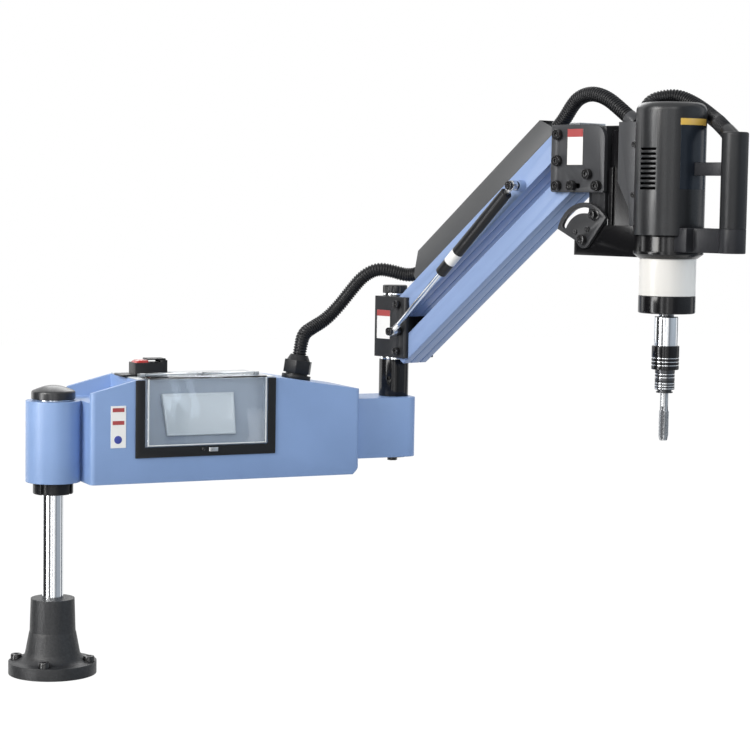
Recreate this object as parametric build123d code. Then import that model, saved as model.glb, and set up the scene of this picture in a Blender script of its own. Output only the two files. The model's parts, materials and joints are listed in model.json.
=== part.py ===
from build123d import *
import os
from math import acos, atan2, cos, degrees, radians, sin, sqrt, tan

# Arm tapping machine. Millimetres, +Z up, origin at the centre of the base's underside.
# +X runs along the lower arm. The upper arm is drawn in its own upright plane, where x is the
# distance from the elbow post and -y is the side that carries the gas spring, and is then turned
# about the elbow post.

# ---- fits
FIT = 0.05  # radial clearance of a shaft in its bore
RUN = 0.3  # gap between faces that move past each other
FLAT = 0.4  # side clearance of a bar between two cheeks

# ---- base and column
FLANGE_R = 72.5
FLANGE_THICK = 20.0
CONE_FOOT_R = 45.0
CONE_FOOT_Z = 35.0
CONE_STEP_R = 38.6
CONE_STEP_Z = 69.0
CONE_TOP_R = 36.0
BASE_HEIGHT = 125.0
BASE_FLOOR = 10.0
BOLT_CIRCLE_R = 61.0
BOLT_HOLE_R = 6.5
SPOT_FACE_R = 10.0
BOLT_TURN = 61.0
COLUMN_R = 17.5
COLUMN_TOP = 462.0
NUT_R = 33.0
NUT_HEIGHT = 19.7
CAP_R = 36.0
CAP_HEIGHT = 22.5
CAP_RING_R = 31.0
CAP_RING_THICK = 2.0

# ---- lower arm casting
HUB_R = 45.0
HUB_BOTTOM = 319.0
HUB_TOP = 453.0
HUB_BUSH_R = 21.5
HUB_BUSH_LENGTH = 35.0
BOX_START = 42.0
BOX_END = 521.0
BOX_HALF = 72.5
BOX_TOP = 489.0
SLOPE_START = 366.0
SLOPE_END_Z = 466.0
WEB_THICK = 8.5
WEB_LOW_Z = 469.0
POCKET_WALL_X = 119.0
CASE_WALL = 7.0
SHELF_END = 646.0
SHELF_HALF = 45.0
SHELF_BOTTOM = 342.0
SHELF_TOP = 446.0
SHELF_CORNER_R = 20.0
STEP_CHAMFER = 12.0
LID_THICK = 2.0
LID_EDGE_Y = -36.0
DRIVE_GAP = 24.0  # from the pocket wall to the servo drive
DRIVE_LENGTH = 180.0
DRIVE_NEAR = -20.0
DRIVE_FAR = 40.0
DRIVE_HEIGHT = 110.0
FIN_COUNT = 8
FIN_PITCH = 22.0
FIN_THICK = 6.0
FIN_DEPTH = 12.0

# ---- control panel on the near wall of the box
BEZEL_X0 = 117.0
BEZEL_X1 = 364.0
BEZEL_Z0 = 361.0
BEZEL_BAR = 16.0
BEZEL_THICK = 2.5
CONSOLE_SHEET = 2.5
CONSOLE_FOOT_Y = -64.0
SCREEN_LENGTH = 118.0
SCREEN_WIDTH = 70.0
SCREEN_THICK = 5.0
SCREEN_X = 236.0
SCREEN_ALONG = 0.47
COVER_SHEET = 3.0
COVER_X0 = 136.0
COVER_X1 = 346.0
COVER_Z0 = 380.0
COVER_HINGE_Y = -38.5
COVER_HINGE_Z = 494.6
COVER_PIN_R = 1.5
COVER_KNUCKLE_R = 3.4

# ---- stop switch on the lid
SWITCH_X = 160.0
SWITCH_FLANGE_LENGTH = 99.0
SWITCH_FLANGE_WIDTH = 46.0
SWITCH_FLANGE_THICK = 3.0
SWITCH_LENGTH = 50.0
SWITCH_WIDTH = 34.0
SWITCH_HEIGHT = 22.0
BUTTON_LENGTH = 22.0
BUTTON_WIDTH = 26.0
BUTTON_PROUD = 4.0
BUTTON_TRAVEL = 2.5
FLAP_LENGTH = 30.0
FLAP_THICK = 2.5
FLAP_KNUCKLE_R = 2.8

# ---- cable gland
GLAND_X = 431.0
GLAND_DISC_R = 25.0
GLAND_DISC_THICK = 7.0
GLAND_NUT_ACROSS = 44.0
GLAND_NUT_HEIGHT = 22.0
GLAND_DOME_R = 20.0
GLAND_DOME_HEIGHT = 10.0

# ---- elbow
REACH = 618.0  # column axis to elbow post axis
ELBOW_YAW = -73.0
JOURNAL_R = 15.0
ELBOW_BUSH_R = 19.0
ELBOW_BUSH_LENGTH = 30.0
POST_R = 26.0
POST_TOP = 510.7
POST_RING_THICK = 5.8
SPIGOT_R = 12.0
RETAINER_R = 25.0
RETAINER_THICK = 3.2
RETAINER_NUT_ACROSS = 16.0
RETAINER_NUT_HEIGHT = 7.0
BLOCK_LEFT = -16.0
BLOCK_CORE = 26.0
BLOCK_RIGHT = 66.0
BLOCK_TOP = 622.0
CHEEK = 7.6
KNOB_R = 21.5
KNOB_HEIGHT = 14.0
KNOB_RING_THICK = 5.0

# ---- parallelogram arm
BAR_HALF = 27.0
BAR_ABOVE = 14.0
BAR_BELOW = 21.0
BAR_WALL = 3.0
BAR_END_THICK = 22.0
GROOVE_IN = 15.0  # from the bar's side to the groove in its underside
GROOVE_WIDTH = 2.0
GROOVE_DEPTH = 1.2
LINK_LENGTH = 469.0
LINK_ANGLE = 37.8
LINK_X = 47.0
LINK_HIGH_Z = 609.5
LINK_SPACING = 81.0
PIN_R = 5.0
PIN_HEAD_R = 6.5
PIN_HEAD = 8.0
BOSS_R = 9.0
OPEN_PIN_GAP = 0.3
COVER_DEPTH = 36.0
COVER_WALL = 1.5
COVER_START = 54.0
COVER_LEAN = 34.0
COVER_END = LINK_LENGTH - 25.0

# ---- gas spring
SPRING_FOOT_X = 50.5
SPRING_FOOT_Z = 563.3
SPRING_HEAD_U = 351.3
SPRING_HEAD_V = -11.5
SPRING_PLANE = 50.0
STUD_R = 4.0
STUD_HEAD_R = 7.0
EYE_R = 8.0
EYE_THICK = 10.0
EYE_NECK_R = 4.9
ROD_R = 4.0
CYLINDER_R = 10.0
CYLINDER_WALL = 1.5
CYLINDER_START = 157.0
CYLINDER_CAP = 12.0
PISTON_START = 250.0
PISTON_THICK = 12.0

# ---- head bracket
PLATE_LEFT = 15.6  # from the upper link pin to the plate's left edge
PLATE_RIGHT = 98.0
PLATE_ABOVE = 15.5
PLATE_BELOW = 91.0
PLATE_CORNER_R = 24.0
CORE_LEFT = 22.5
CORE_RIGHT = 94.5
HEAD_BOLT_R = 4.0
TILT_DX = 56.4  # upper link pin to tilt pivot
TILT_DZ = -164.9
EAR_HALF = 8.0
EAR_R = 13.0
SECTOR_SLOT_R = 45.7
SECTOR_SLOT_HALF = 4.6
SECTOR_OUTER_R = 58.0
SECTOR_THICK = 6.3
SECTOR_START = 58.6
TILT_RANGE = 90.0
CORE_FOOT_CLEAR = 33.0

# ---- motor carriage: along the arm and up from the tilt pivot
BLOCK_BEHIND = 24.5
BLOCK_BELOW = 25.0
BLOCK_ABOVE = 23.0
BLOCK_CORNER_R = 15.0
MOTOR_X = 146.0
MOTOR_R = 54.0
MOTOR_WALL = 3.5
MOTOR_BOTTOM = 10.0
MOTOR_TOP = 212.0
MOTOR_DOME_R = 13.0
STATOR_R = 45.0
STATOR_TOP = MOTOR_TOP - 62.0
SLOT_COUNT = 9
SLOT_PITCH = 7.45
SLOT_HEIGHT = 3.8
SLOT_LENGTH = 30.0
SLOT_LOWEST_Z = 81.0
RING_BOTTOM = -19.0
RING_NECK_R = 46.5
UPRIGHT_LEFT = 45.0
UPRIGHT_HALF = 22.0
WIRE_BOX_LEFT = 70.0
WIRE_BOX_TOP = 183.0
WIRE_BOX_WALL = 2.5
WIRE_BOX_TAPER = 24.0  # how far the box's left side is drawn in at its foot
WIRE_BOX_TAPER_TOP = 92.0  # from the box's top down to where the taper starts
WIRE_BOX_TAPER_FOOT = 133.0
UPRIGHT_TOP = WIRE_BOX_TOP - 12.0
GEARBOX_R = 43.5
GEARBOX_BOTTOM = -83.0
GEARBOX_TOP = -25.5
GEARBOX_NECK_R = 39.9
NOSE_R = 44.0
NOSE_BOTTOM = -110.0
BEARING_R = 21.0
BEARING_THICK = 19.0

# ---- handle
HANDLE_X = 270.0
HANDLE_R = 20.0
HANDLE_BOTTOM = -15.0
HANDLE_TOP = 166.0
HANDLE_ARM_HALF = 13.0
HANDLE_ARM_TOP = 22.0
HANDLE_SPIGOT_R = 12.0
CLAMP_HALF = 29.5  # the wide block that holds the handle's arm to the ring
CLAMP_END = 206.0
BRACE_Z = 111.0
BRACE_HEIGHT = 20.0
BRACE_HALF = 8.0
FINGER_COUNT = 4
FINGER_PITCH = 22.0
FINGER_DEPTH = 2.5
FINGER_R = 16.0
PUSH_R = 6.0
PUSH_Z = 140.0
PUSH_PROUD = 3.0
PUSH_TRAVEL = 2.0

# ---- spindle, chuck and tap
SHAFT_R = 12.0
SHAFT_TOP = -42.0
SPINDLE_R = 18.5
SPINDLE_TOP = -115.0
SPINDLE_BOTTOM = -195.0
SLEEVE_R = 21.3
SLEEVE_TOP = -160.0
SLEEVE_BOTTOM = -197.0
HOLDER_R = 15.3
HOLDER_SPIGOT_R = 9.5
HOLDER_SPIGOT_TOP = -167.0
HOLDER_STEP_Z = -215.0
HOLDER_BOTTOM = -233.0
HOLDER_NOSE_R = 11.0
RING_GROOVE = 0.8  # depth of the turned rings on the sleeve and the holder
COLLAR_BOTTOM = -228.0
TAP_SHANK_R = 6.25
TAP_SHANK_TOP = -202.0
TAP_THREAD_R = 8.0
TAP_THREAD_TOP = -262.0
TAP_TIP = -307.0
TAP_FLUTES = 4

# ---- hoses
HOSE_R = 12.0
HOSE_ROOT_R = 10.6
HOSE_BORE_R = 8.5
RIB_PITCH = 11.0
HOSE_LANE = 31.5  # height of the hose above the link's pivot line inside the cable cover
COVER_GATE_LOW = 71.0  # plates across the cable cover that the hoses end on
COVER_GATE_HIGH = LINK_LENGTH - 31.0
# the last two points of the head hose and of the handle hose: along, near and up from the tilt pivot
BOX_APPROACH = (WIRE_BOX_LEFT - 32.0, 3.0, WIRE_BOX_TOP + 26.0)
BOX_SOCKET = (WIRE_BOX_LEFT - 8.0, 3.0, WIRE_BOX_TOP + 9.0)
HANDLE_APPROACH = (HANDLE_X - 46.0, -19.0, HANDLE_TOP + 14.0)
HANDLE_SOCKET = (HANDLE_X - 26.0, -12.0, HANDLE_TOP + 2.0)
SOCKET_R = 12.5

# ---- values that follow from the sizes above
HEAD_X = LINK_X + LINK_LENGTH * cos(radians(LINK_ANGLE))
HEAD_Z = LINK_HIGH_Z + LINK_LENGTH * sin(radians(LINK_ANGLE))
CHEEK_IN = BAR_HALF + FLAT
CHEEK_OUT = CHEEK_IN + CHEEK
TILT_X = HEAD_X + TILT_DX
TILT_Z = HEAD_Z + TILT_DZ
SECTOR_IN = CHEEK_IN + RUN
SECTOR_OUT = SECTOR_IN + SECTOR_THICK
BLOCK_BOTTOM = POST_TOP + POST_RING_THICK

elbow_place = Pos(REACH, 0, 0) * Rot(0, 0, ELBOW_YAW)
link_place = Pos(LINK_X, 0, LINK_HIGH_Z) * Rot(0, -LINK_ANGLE, 0)
carriage_place = elbow_place * Pos(TILT_X, 0, TILT_Z)


def upright(radius, low, high, x=0.0, y=0.0):
    """A round bar standing on end."""
    return Pos(x, y, (low + high) / 2) * Cylinder(radius, high - low)


def across(radius, near, far, x, z):
    """A round bar lying along Y, from y = near to y = far."""
    return Pos(x, (near + far) / 2, z) * Rot(90, 0, 0) * Cylinder(radius, far - near)


def lengthwise(radius, start, end, y, z):
    """A round bar lying along X."""
    return Pos((start + end) / 2, y, z) * Rot(0, 90, 0) * Cylinder(radius, end - start)


def block(x0, x1, y0, y1, z0, z1):
    return Pos((x0 + x1) / 2, (y0 + y1) / 2, (z0 + z1) / 2) * Box(x1 - x0, y1 - y0, z1 - z0)


def side_plate(outline, near, far):
    """A plate whose outline is drawn in x and z, from y = near to y = far."""
    return extrude(Plane.XZ.offset(-far) * outline, far - near)


def end_plate(outline, start, end):
    """A bar whose section is drawn in y and z, from x = start to x = end."""
    return extrude(Plane.YZ.offset(start) * outline, end - start)


def hexagon(across_flats, low, high, x=0.0, y=0.0):
    outline = RegularPolygon(across_flats / 2, 6, major_radius=False)
    return Pos(x, y, low) * extrude(outline, high - low)


def turned(points, x=0.0):
    """A turned solid: points are radius and height, closed along the axis."""
    low = points[0][1]
    high = points[-1][1]
    outline = Polygon((0, low), *points, (0, high), align=None)
    return Pos(x, 0, 0) * revolve(Plane.XZ * outline, Axis.Z)


def hex_nut_across(across_flats, near, far, x, z):
    """A hexagon nut on a bar that lies along Y."""
    outline = RegularPolygon(across_flats / 2, 6, major_radius=False)
    return side_plate(Pos(x, z) * outline, near, far)


# ---------------------------------------------------------------- base
def base_casting():
    flare = ThreePointArc((62, FLANGE_THICK + 1), (50.5, 26), (CONE_FOOT_R, CONE_FOOT_Z))
    outline = [
        Line((0, 0), (FLANGE_R, 0)),
        Line((FLANGE_R, 0), (FLANGE_R, FLANGE_THICK)),
        Line((FLANGE_R, FLANGE_THICK), (62, FLANGE_THICK + 1)),
        flare,
        Line((CONE_FOOT_R, CONE_FOOT_Z), (CONE_STEP_R, CONE_STEP_Z)),
        Line((CONE_STEP_R, CONE_STEP_Z), (CONE_STEP_R - 0.8, CONE_STEP_Z + 1)),
        Line((CONE_STEP_R - 0.8, CONE_STEP_Z + 1), (CONE_TOP_R, BASE_HEIGHT)),
        Line((CONE_TOP_R, BASE_HEIGHT), (0, BASE_HEIGHT)),
        Line((0, BASE_HEIGHT), (0, 0)),
    ]
    body = revolve(Plane.XZ * make_face(outline), Axis.Z)
    for turn in range(4):
        angle = radians(BOLT_TURN + 90 * turn)
        x = BOLT_CIRCLE_R * cos(angle)
        y = BOLT_CIRCLE_R * sin(angle)
        body -= upright(BOLT_HOLE_R, -1, BASE_HEIGHT, x, y)
        body -= upright(SPOT_FACE_R, FLANGE_THICK - 1, BASE_HEIGHT, x, y)
    return body - upright(COLUMN_R + FIT, BASE_FLOOR, BASE_HEIGHT + 1)


def column():
    shaft = upright(COLUMN_R, BASE_FLOOR, COLUMN_TOP)
    return chamfer(shaft.edges().sort_by(Axis.Z)[-1], 1)


def collar_nut():
    top = HUB_BOTTOM - RUN
    ring = upright(NUT_R, top - NUT_HEIGHT, top)
    ring = chamfer(ring.edges().filter_by(GeomType.CIRCLE), 1.2)
    ring -= upright(COLUMN_R + FIT, top - NUT_HEIGHT - 1, top + 1)
    for turn in range(4):
        slot = block(NUT_R - 5, NUT_R + 5, -4, 4, top - NUT_HEIGHT - 1, top + 1)
        ring -= Rot(0, 0, 45 + 90 * turn) * slot
    return ring


def cap_ring():
    low = HUB_TOP + RUN
    ring = upright(CAP_RING_R, low, low + CAP_RING_THICK)
    return ring - upright(COLUMN_R + FIT, low - 1, low + CAP_RING_THICK + 1)


def column_cap():
    low = HUB_TOP + RUN + CAP_RING_THICK
    high = low + CAP_HEIGHT
    dome = [(CAP_R - 1, low), (CAP_R, low + 1), (CAP_R, high - 11), (CAP_R - 3, high - 8)]
    body = turned(dome + [(12, high - 1), (10, high)])
    return body - upright(COLUMN_R + FIT, low - 1, COLUMN_TOP)


# ---------------------------------------------------------------- lower arm
def arm_plan():
    """The casting seen from above: hub, box and elbow shelf."""
    box = Pos((BOX_START + BOX_END) / 2, 0) * RectangleRounded(BOX_END - BOX_START, 2 * BOX_HALF, 8)
    shelf_start = BOX_END - 40
    shelf = Pos((shelf_start + SHELF_END) / 2, 0)
    shelf = shelf * RectangleRounded(SHELF_END - shelf_start, 2 * SHELF_HALF, SHELF_CORNER_R)
    return Circle(HUB_R) + box + shelf


def arm_side():
    """The casting seen from the side."""
    left = -HUB_R - 5
    return Polygon(
        (left, HUB_BOTTOM),
        (BOX_END - STEP_CHAMFER, HUB_BOTTOM),
        (BOX_END, HUB_BOTTOM + STEP_CHAMFER),
        (BOX_END, SHELF_BOTTOM),
        (SHELF_END + 5, SHELF_BOTTOM),
        (SHELF_END + 5, SHELF_TOP),
        (BOX_END, SHELF_TOP),
        (BOX_END, SLOPE_END_Z),
        (SLOPE_START, BOX_TOP),
        (POCKET_WALL_X, BOX_TOP),
        (BOX_START, WEB_LOW_Z),
        (BOX_START, HUB_TOP),
        (left, HUB_TOP),
        align=None,
    )


def console_opening():
    """The window in the near wall behind the clear cover, open at the top."""
    x0 = BEZEL_X0 + BEZEL_BAR
    x1 = BEZEL_X1 - BEZEL_BAR + 2
    return block(x0, x1, -BOX_HALF - 1, -BOX_HALF + 20, BEZEL_Z0 + BEZEL_BAR + 1, BOX_TOP + 1)


def arm_casting():
    plan = extrude(Pos(0, 0, HUB_BOTTOM - 10) * arm_plan(), BOX_TOP - HUB_BOTTOM + 30)
    body = plan & side_plate(arm_side(), -BOX_HALF - 10, BOX_HALF + 10)
    web = BOX_HALF - WEB_THICK
    body -= block(-HUB_R - 5, POCKET_WALL_X, -web, web, HUB_TOP, BOX_TOP + 1)
    wall = BOX_HALF - CASE_WALL
    body -= block(POCKET_WALL_X + CASE_WALL, SLOPE_START, -wall, wall, HUB_BOTTOM + CASE_WALL, BOX_TOP + 1)
    body -= console_opening()
    body -= upright(HUB_BUSH_R + FIT, HUB_BOTTOM - 1, HUB_TOP + 1)
    body -= upright(ELBOW_BUSH_R + FIT, SHELF_BOTTOM - 1, SHELF_TOP + 1, REACH)
    return body


def hub_bushes():
    bore = COLUMN_R + FIT
    pair = []
    for low in (HUB_BOTTOM, HUB_TOP - HUB_BUSH_LENGTH):
        high = low + HUB_BUSH_LENGTH
        pair.append(upright(HUB_BUSH_R, low, high) - upright(bore, low - 1, high + 1))
    return Compound(pair)


def elbow_bushes():
    bore = JOURNAL_R + FIT
    pair = []
    for low in (SHELF_BOTTOM, SHELF_TOP - ELBOW_BUSH_LENGTH):
        high = low + ELBOW_BUSH_LENGTH
        ring = upright(ELBOW_BUSH_R, low, high, REACH)
        pair.append(ring - upright(bore, low - 1, high + 1, REACH))
    return Compound(pair)


def top_plate():
    edge = BOX_HALF - 2
    lid = block(POCKET_WALL_X + 2, SLOPE_START - 2, -edge, edge, BOX_TOP, BOX_TOP + LID_THICK)
    x0 = BEZEL_X0 + BEZEL_BAR
    x1 = BEZEL_X1 - BEZEL_BAR + 2
    return lid - block(x0, x1, -edge - 1, LID_EDGE_Y, BOX_TOP - 1, BOX_TOP + 5)


def drive_unit():
    """The servo drive that stands on the floor of the case, with cooling fins on its back."""
    floor = HUB_BOTTOM + CASE_WALL
    left = POCKET_WALL_X + CASE_WALL + DRIVE_GAP
    top = floor + DRIVE_HEIGHT
    body = block(left, left + DRIVE_LENGTH, DRIVE_NEAR, DRIVE_FAR, floor, top)
    for n in range(FIN_COUNT):
        x = left + 10 + n * FIN_PITCH
        body += block(x, x + FIN_THICK, DRIVE_FAR, DRIVE_FAR + FIN_DEPTH, floor, top)
    return body


def panel_bezel():
    near = -BOX_HALF - BEZEL_THICK
    frame = block(BEZEL_X0, BEZEL_X1, near, -BOX_HALF, BEZEL_Z0, BOX_TOP)
    x0 = BEZEL_X0 + BEZEL_BAR
    x1 = BEZEL_X1 - BEZEL_BAR + 2
    return frame - block(x0, x1, near - 1, -BOX_HALF + 1, BEZEL_Z0 + BEZEL_BAR + 1, BOX_TOP + 1)


def console_line():
    """Foot and head of the leaning sheet, as y and z."""
    foot = (CONSOLE_FOOT_Y, BEZEL_Z0 + BEZEL_BAR + 1)
    head = (LID_EDGE_Y, BOX_TOP)
    return foot, head


def control_console():
    (foot_y, foot_z), (head_y, head_z) = console_line()
    t = CONSOLE_SHEET
    near = -BOX_HALF
    section = Polygon(
        (near, foot_z),
        (foot_y + t, foot_z),
        (head_y + t, head_z),
        (head_y, head_z),
        (foot_y, foot_z + t),
        (near, foot_z + t),
        align=None,
    )
    x0 = BEZEL_X0 + BEZEL_BAR
    x1 = BEZEL_X1 - BEZEL_BAR + 2
    body = end_plate(section, x0, x1)
    cheek = Polygon((near, foot_z), (foot_y, foot_z), (head_y, head_z), (near, head_z), align=None)
    return body + end_plate(cheek, x0, x0 + t) + end_plate(cheek, x1 - t, x1)


def touch_screen():
    (foot_y, foot_z), (head_y, head_z) = console_line()
    y = foot_y + (head_y - foot_y) * SCREEN_ALONG
    z = foot_z + (head_z - foot_z) * SCREEN_ALONG
    lean = degrees(atan2(head_y - foot_y, head_z - foot_z))
    panel = Box(SCREEN_LENGTH, SCREEN_THICK, SCREEN_WIDTH)
    frame_cut = Pos(0, -SCREEN_THICK / 2, 0) * Box(SCREEN_LENGTH - 8, 2, SCREEN_WIDTH - 8)
    rise = SCREEN_THICK / 2 + 1.0
    return Pos(SCREEN_X, y, z) * Rot(-lean, 0, 0) * Pos(0, -rise, 0) * (panel - frame_cut)


def cover_hinge():
    """Three brackets on the lid that carry the cover's hinge rod."""
    rod = lengthwise(COVER_PIN_R, COVER_X0, COVER_X1, COVER_HINGE_Y, COVER_HINGE_Z)
    low = BOX_TOP + LID_THICK
    for x in (COVER_X0 + 4, (COVER_X0 + COVER_X1) / 2, COVER_X1 - 4):
        rod += block(x - 4, x + 4, LID_EDGE_Y + 2, LID_EDGE_Y + 12, low, low + 4)
        rod += block(x - 4, x + 4, COVER_HINGE_Y, LID_EDGE_Y + 12, low + 2, low + 5)
        rod += lengthwise(3, x - 4, x + 4, COVER_HINGE_Y, COVER_HINGE_Z)
    return rod


def clear_cover():
    front = -BOX_HALF - BEZEL_THICK - RUN
    top = BOX_TOP + 1 + COVER_SHEET
    t = COVER_SHEET
    section = Polygon(
        (front - t, COVER_Z0),
        (front, COVER_Z0),
        (front, top - t),
        (COVER_HINGE_Y - 2, top - t),
        (COVER_HINGE_Y - 2, top),
        (front - t + 2, top),
        (front - t, top - 2),
        align=None,
    )
    sheet = end_plate(section, COVER_X0, COVER_X1)
    middle = (COVER_X0 + COVER_X1) / 2
    for x0, x1 in ((COVER_X0 + 8.4, middle - 4.4), (middle + 4.4, COVER_X1 - 8.4)):
        knuckle = lengthwise(COVER_KNUCKLE_R, x0, x1, COVER_HINGE_Y, COVER_HINGE_Z)
        knuckle += block(x0, x1, COVER_HINGE_Y - 6, COVER_HINGE_Y, top - 1, top + 1)
        sheet += knuckle
        sheet -= lengthwise(COVER_PIN_R + FIT, x0 - 1, x1 + 1, COVER_HINGE_Y, COVER_HINGE_Z)
    for x in (COVER_X0 + 4, middle, COVER_X1 - 4):
        sheet -= block(x - 4.4, x + 4.4, COVER_HINGE_Y - 4.4, COVER_HINGE_Y + 5, top - t - 1, top + 5)
    return sheet


# ---------------------------------------------------------------- stop switch
def switch_top():
    return BOX_TOP + LID_THICK + SWITCH_HEIGHT


def switch_left():
    return SWITCH_X - SWITCH_LENGTH / 2


def flap_hinge_x():
    return switch_left() + SWITCH_LENGTH + FLAP_KNUCKLE_R + RUN


def switch_housing():
    low = BOX_TOP + LID_THICK
    half = SWITCH_FLANGE_LENGTH / 2
    flange = RectangleRounded(2 * half, SWITCH_FLANGE_WIDTH, 4)
    body = Pos(SWITCH_X, 0, low) * extrude(flange, SWITCH_FLANGE_THICK)
    left = switch_left()
    body += block(left, left + SWITCH_LENGTH, -SWITCH_WIDTH / 2, SWITCH_WIDTH / 2, low, switch_top())
    pocket_wide = BUTTON_WIDTH / 2 + RUN
    pocket_end = left + 2 + BUTTON_LENGTH + 2 * RUN
    body -= block(left + 2, pocket_end, -pocket_wide, pocket_wide, low + 5, switch_top() + 1)
    hinge_x = flap_hinge_x()
    for side in (-1, 1):
        y = side * (SWITCH_WIDTH / 2 - 1.5)
        body += block(left + SWITCH_LENGTH - 4, hinge_x + 3, y - 1.5, y + 1.5, low, switch_top() + 4)
    body += across(1.5, -SWITCH_WIDTH / 2 + 1, SWITCH_WIDTH / 2 - 1, hinge_x, switch_top() + 1)
    return body


def stop_button():
    left = switch_left() + 2 + RUN
    bottom = BOX_TOP + LID_THICK + 5 + BUTTON_TRAVEL + RUN
    high = switch_top() + BUTTON_PROUD
    outline = Polygon(
        (left, bottom),
        (left + BUTTON_LENGTH, bottom),
        (left + BUTTON_LENGTH, high),
        (left + 6, high),
        (left, high - 3),
        align=None,
    )
    return side_plate(outline, -BUTTON_WIDTH / 2, BUTTON_WIDTH / 2)


def switch_flap():
    hinge_x = flap_hinge_x()
    hinge_z = switch_top() + 1
    wide = SWITCH_WIDTH / 2 - 3 - RUN
    low = switch_top() + BUTTON_PROUD + RUN
    plate = block(hinge_x - FLAP_LENGTH, hinge_x + 1, -wide, wide, low, low + FLAP_THICK)
    plate += block(hinge_x - 1.5, hinge_x + 1.5, -wide, wide, hinge_z, low + 1)
    plate += across(FLAP_KNUCKLE_R, -wide, wide, hinge_x, hinge_z)
    plate -= across(1.5 + FIT, -wide - 1, wide + 1, hinge_x, hinge_z)
    return plate


# ---------------------------------------------------------------- cable gland
def slope_angle():
    return degrees(atan2(BOX_TOP - SLOPE_END_Z, BOX_END - SLOPE_START))


def slope_z(x):
    return BOX_TOP - (x - SLOPE_START) * tan(radians(slope_angle()))


def gland_place():
    return Pos(GLAND_X, 0, slope_z(GLAND_X)) * Rot(0, slope_angle(), 0)


def gland_top():
    return GLAND_DISC_THICK + 3 + GLAND_NUT_HEIGHT + GLAND_DOME_HEIGHT


def cable_gland():
    nut_low = GLAND_DISC_THICK + 3
    nut_high = nut_low + GLAND_NUT_HEIGHT
    body = upright(GLAND_DISC_R, 0, GLAND_DISC_THICK)
    body += upright(GLAND_DOME_R - 1, 0, nut_low + 1)
    body += hexagon(GLAND_NUT_ACROSS, nut_low, nut_high)
    dome = turned([(GLAND_DOME_R, nut_high), (HOSE_R + 3, gland_top())])
    body += dome
    body -= upright(HOSE_BORE_R, -1, gland_top() + 1)
    return gland_place() * body


# ---------------------------------------------------------------- elbow
def elbow_post():
    body = upright(JOURNAL_R, SHELF_BOTTOM - RUN, SHELF_TOP + 2)
    body += upright(POST_R, SHELF_TOP + RUN, POST_TOP)
    body += upright(SPIGOT_R, POST_TOP - 1, BLOCK_TOP + KNOB_RING_THICK + 6)
    body -= Rot(0, 0, -60) * Pos(POST_R, 0, (SHELF_TOP + POST_TOP) / 2) * Rot(0, 90, 0) * Cylinder(4, 16)
    return elbow_place * body


def elbow_rings():
    low_ring = upright(POST_R - 1, POST_TOP, BLOCK_BOTTOM)
    low_ring -= upright(SPIGOT_R + FIT, POST_TOP - 1, BLOCK_BOTTOM + 1)
    high = BLOCK_TOP + KNOB_RING_THICK
    high_ring = upright(KNOB_R - 0.5, BLOCK_TOP, high)
    high_ring -= upright(SPIGOT_R + FIT, BLOCK_TOP - 1, high + 1)
    return elbow_place * Compound([low_ring, high_ring])


def elbow_knob():
    low = BLOCK_TOP + KNOB_RING_THICK
    high = low + KNOB_HEIGHT
    body = turned([(KNOB_R, low), (KNOB_R, high - 1.5), (KNOB_R - 1.5, high)])
    for n in range(16):
        body -= Rot(0, 0, n * 22.5) * upright(1.2, low - 1, high + 1, KNOB_R + 0.4)
    body -= upright(SPIGOT_R + FIT, low - 1, low + 6)
    return elbow_place * body


def elbow_block():
    width = BLOCK_RIGHT - BLOCK_LEFT
    plan = Pos((BLOCK_LEFT + BLOCK_RIGHT) / 2, 0) * RectangleRounded(width, 2 * CHEEK_OUT, 5)
    slot_start = BLOCK_CORE
    plan -= Pos(slot_start + 50, 0) * Rectangle(100, 2 * CHEEK_IN)
    body = Pos(0, 0, BLOCK_BOTTOM) * extrude(plan, BLOCK_TOP - BLOCK_BOTTOM)
    body -= upright(SPIGOT_R + FIT, BLOCK_BOTTOM - 1, BLOCK_TOP + 1)
    for z in (LINK_HIGH_Z, LINK_HIGH_Z - LINK_SPACING):
        body -= across(PIN_R + FIT, -CHEEK_OUT - 1, CHEEK_OUT + 1, LINK_X, z)
    return elbow_place * body


def bolt_across(radius, x, z):
    """A cap screw through both cheeks, its head on the near side and its nut on the far side."""
    shank = across(radius, -CHEEK_OUT - 1, CHEEK_OUT + 7, x, z)
    head = across(PIN_HEAD_R, -CHEEK_OUT - PIN_HEAD, -CHEEK_OUT, x, z)
    head -= hex_nut_across(6, -CHEEK_OUT - PIN_HEAD - 1, -CHEEK_OUT - PIN_HEAD + 4, x, z)
    nut = hex_nut_across(13, CHEEK_OUT, CHEEK_OUT + 6, x, z)
    return shank + head + nut


def elbow_pins():
    heights = (LINK_HIGH_Z, LINK_HIGH_Z - LINK_SPACING)
    return elbow_place * Compound([bolt_across(PIN_R, LINK_X, z) for z in heights])


def post_retainer():
    top = SHELF_BOTTOM - RUN
    body = upright(RETAINER_R, top - RETAINER_THICK, top)
    low = top - RETAINER_THICK - RETAINER_NUT_HEIGHT
    body += hexagon(RETAINER_NUT_ACROSS, low, top - RETAINER_THICK + 0.5)
    return elbow_place * body


def spring_stud():
    eye_near = -SPRING_PLANE - EYE_THICK / 2 - RUN
    eye_far = -SPRING_PLANE + EYE_THICK / 2 + RUN
    foot = across(EYE_R, eye_far, -CHEEK_OUT, SPRING_FOOT_X, SPRING_FOOT_Z)
    shank = across(STUD_R, eye_near - 1, -CHEEK_OUT, SPRING_FOOT_X, SPRING_FOOT_Z)
    head = across(STUD_HEAD_R, eye_near - 6, eye_near, SPRING_FOOT_X, SPRING_FOOT_Z)
    return elbow_place * (foot + shank + head)


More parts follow.
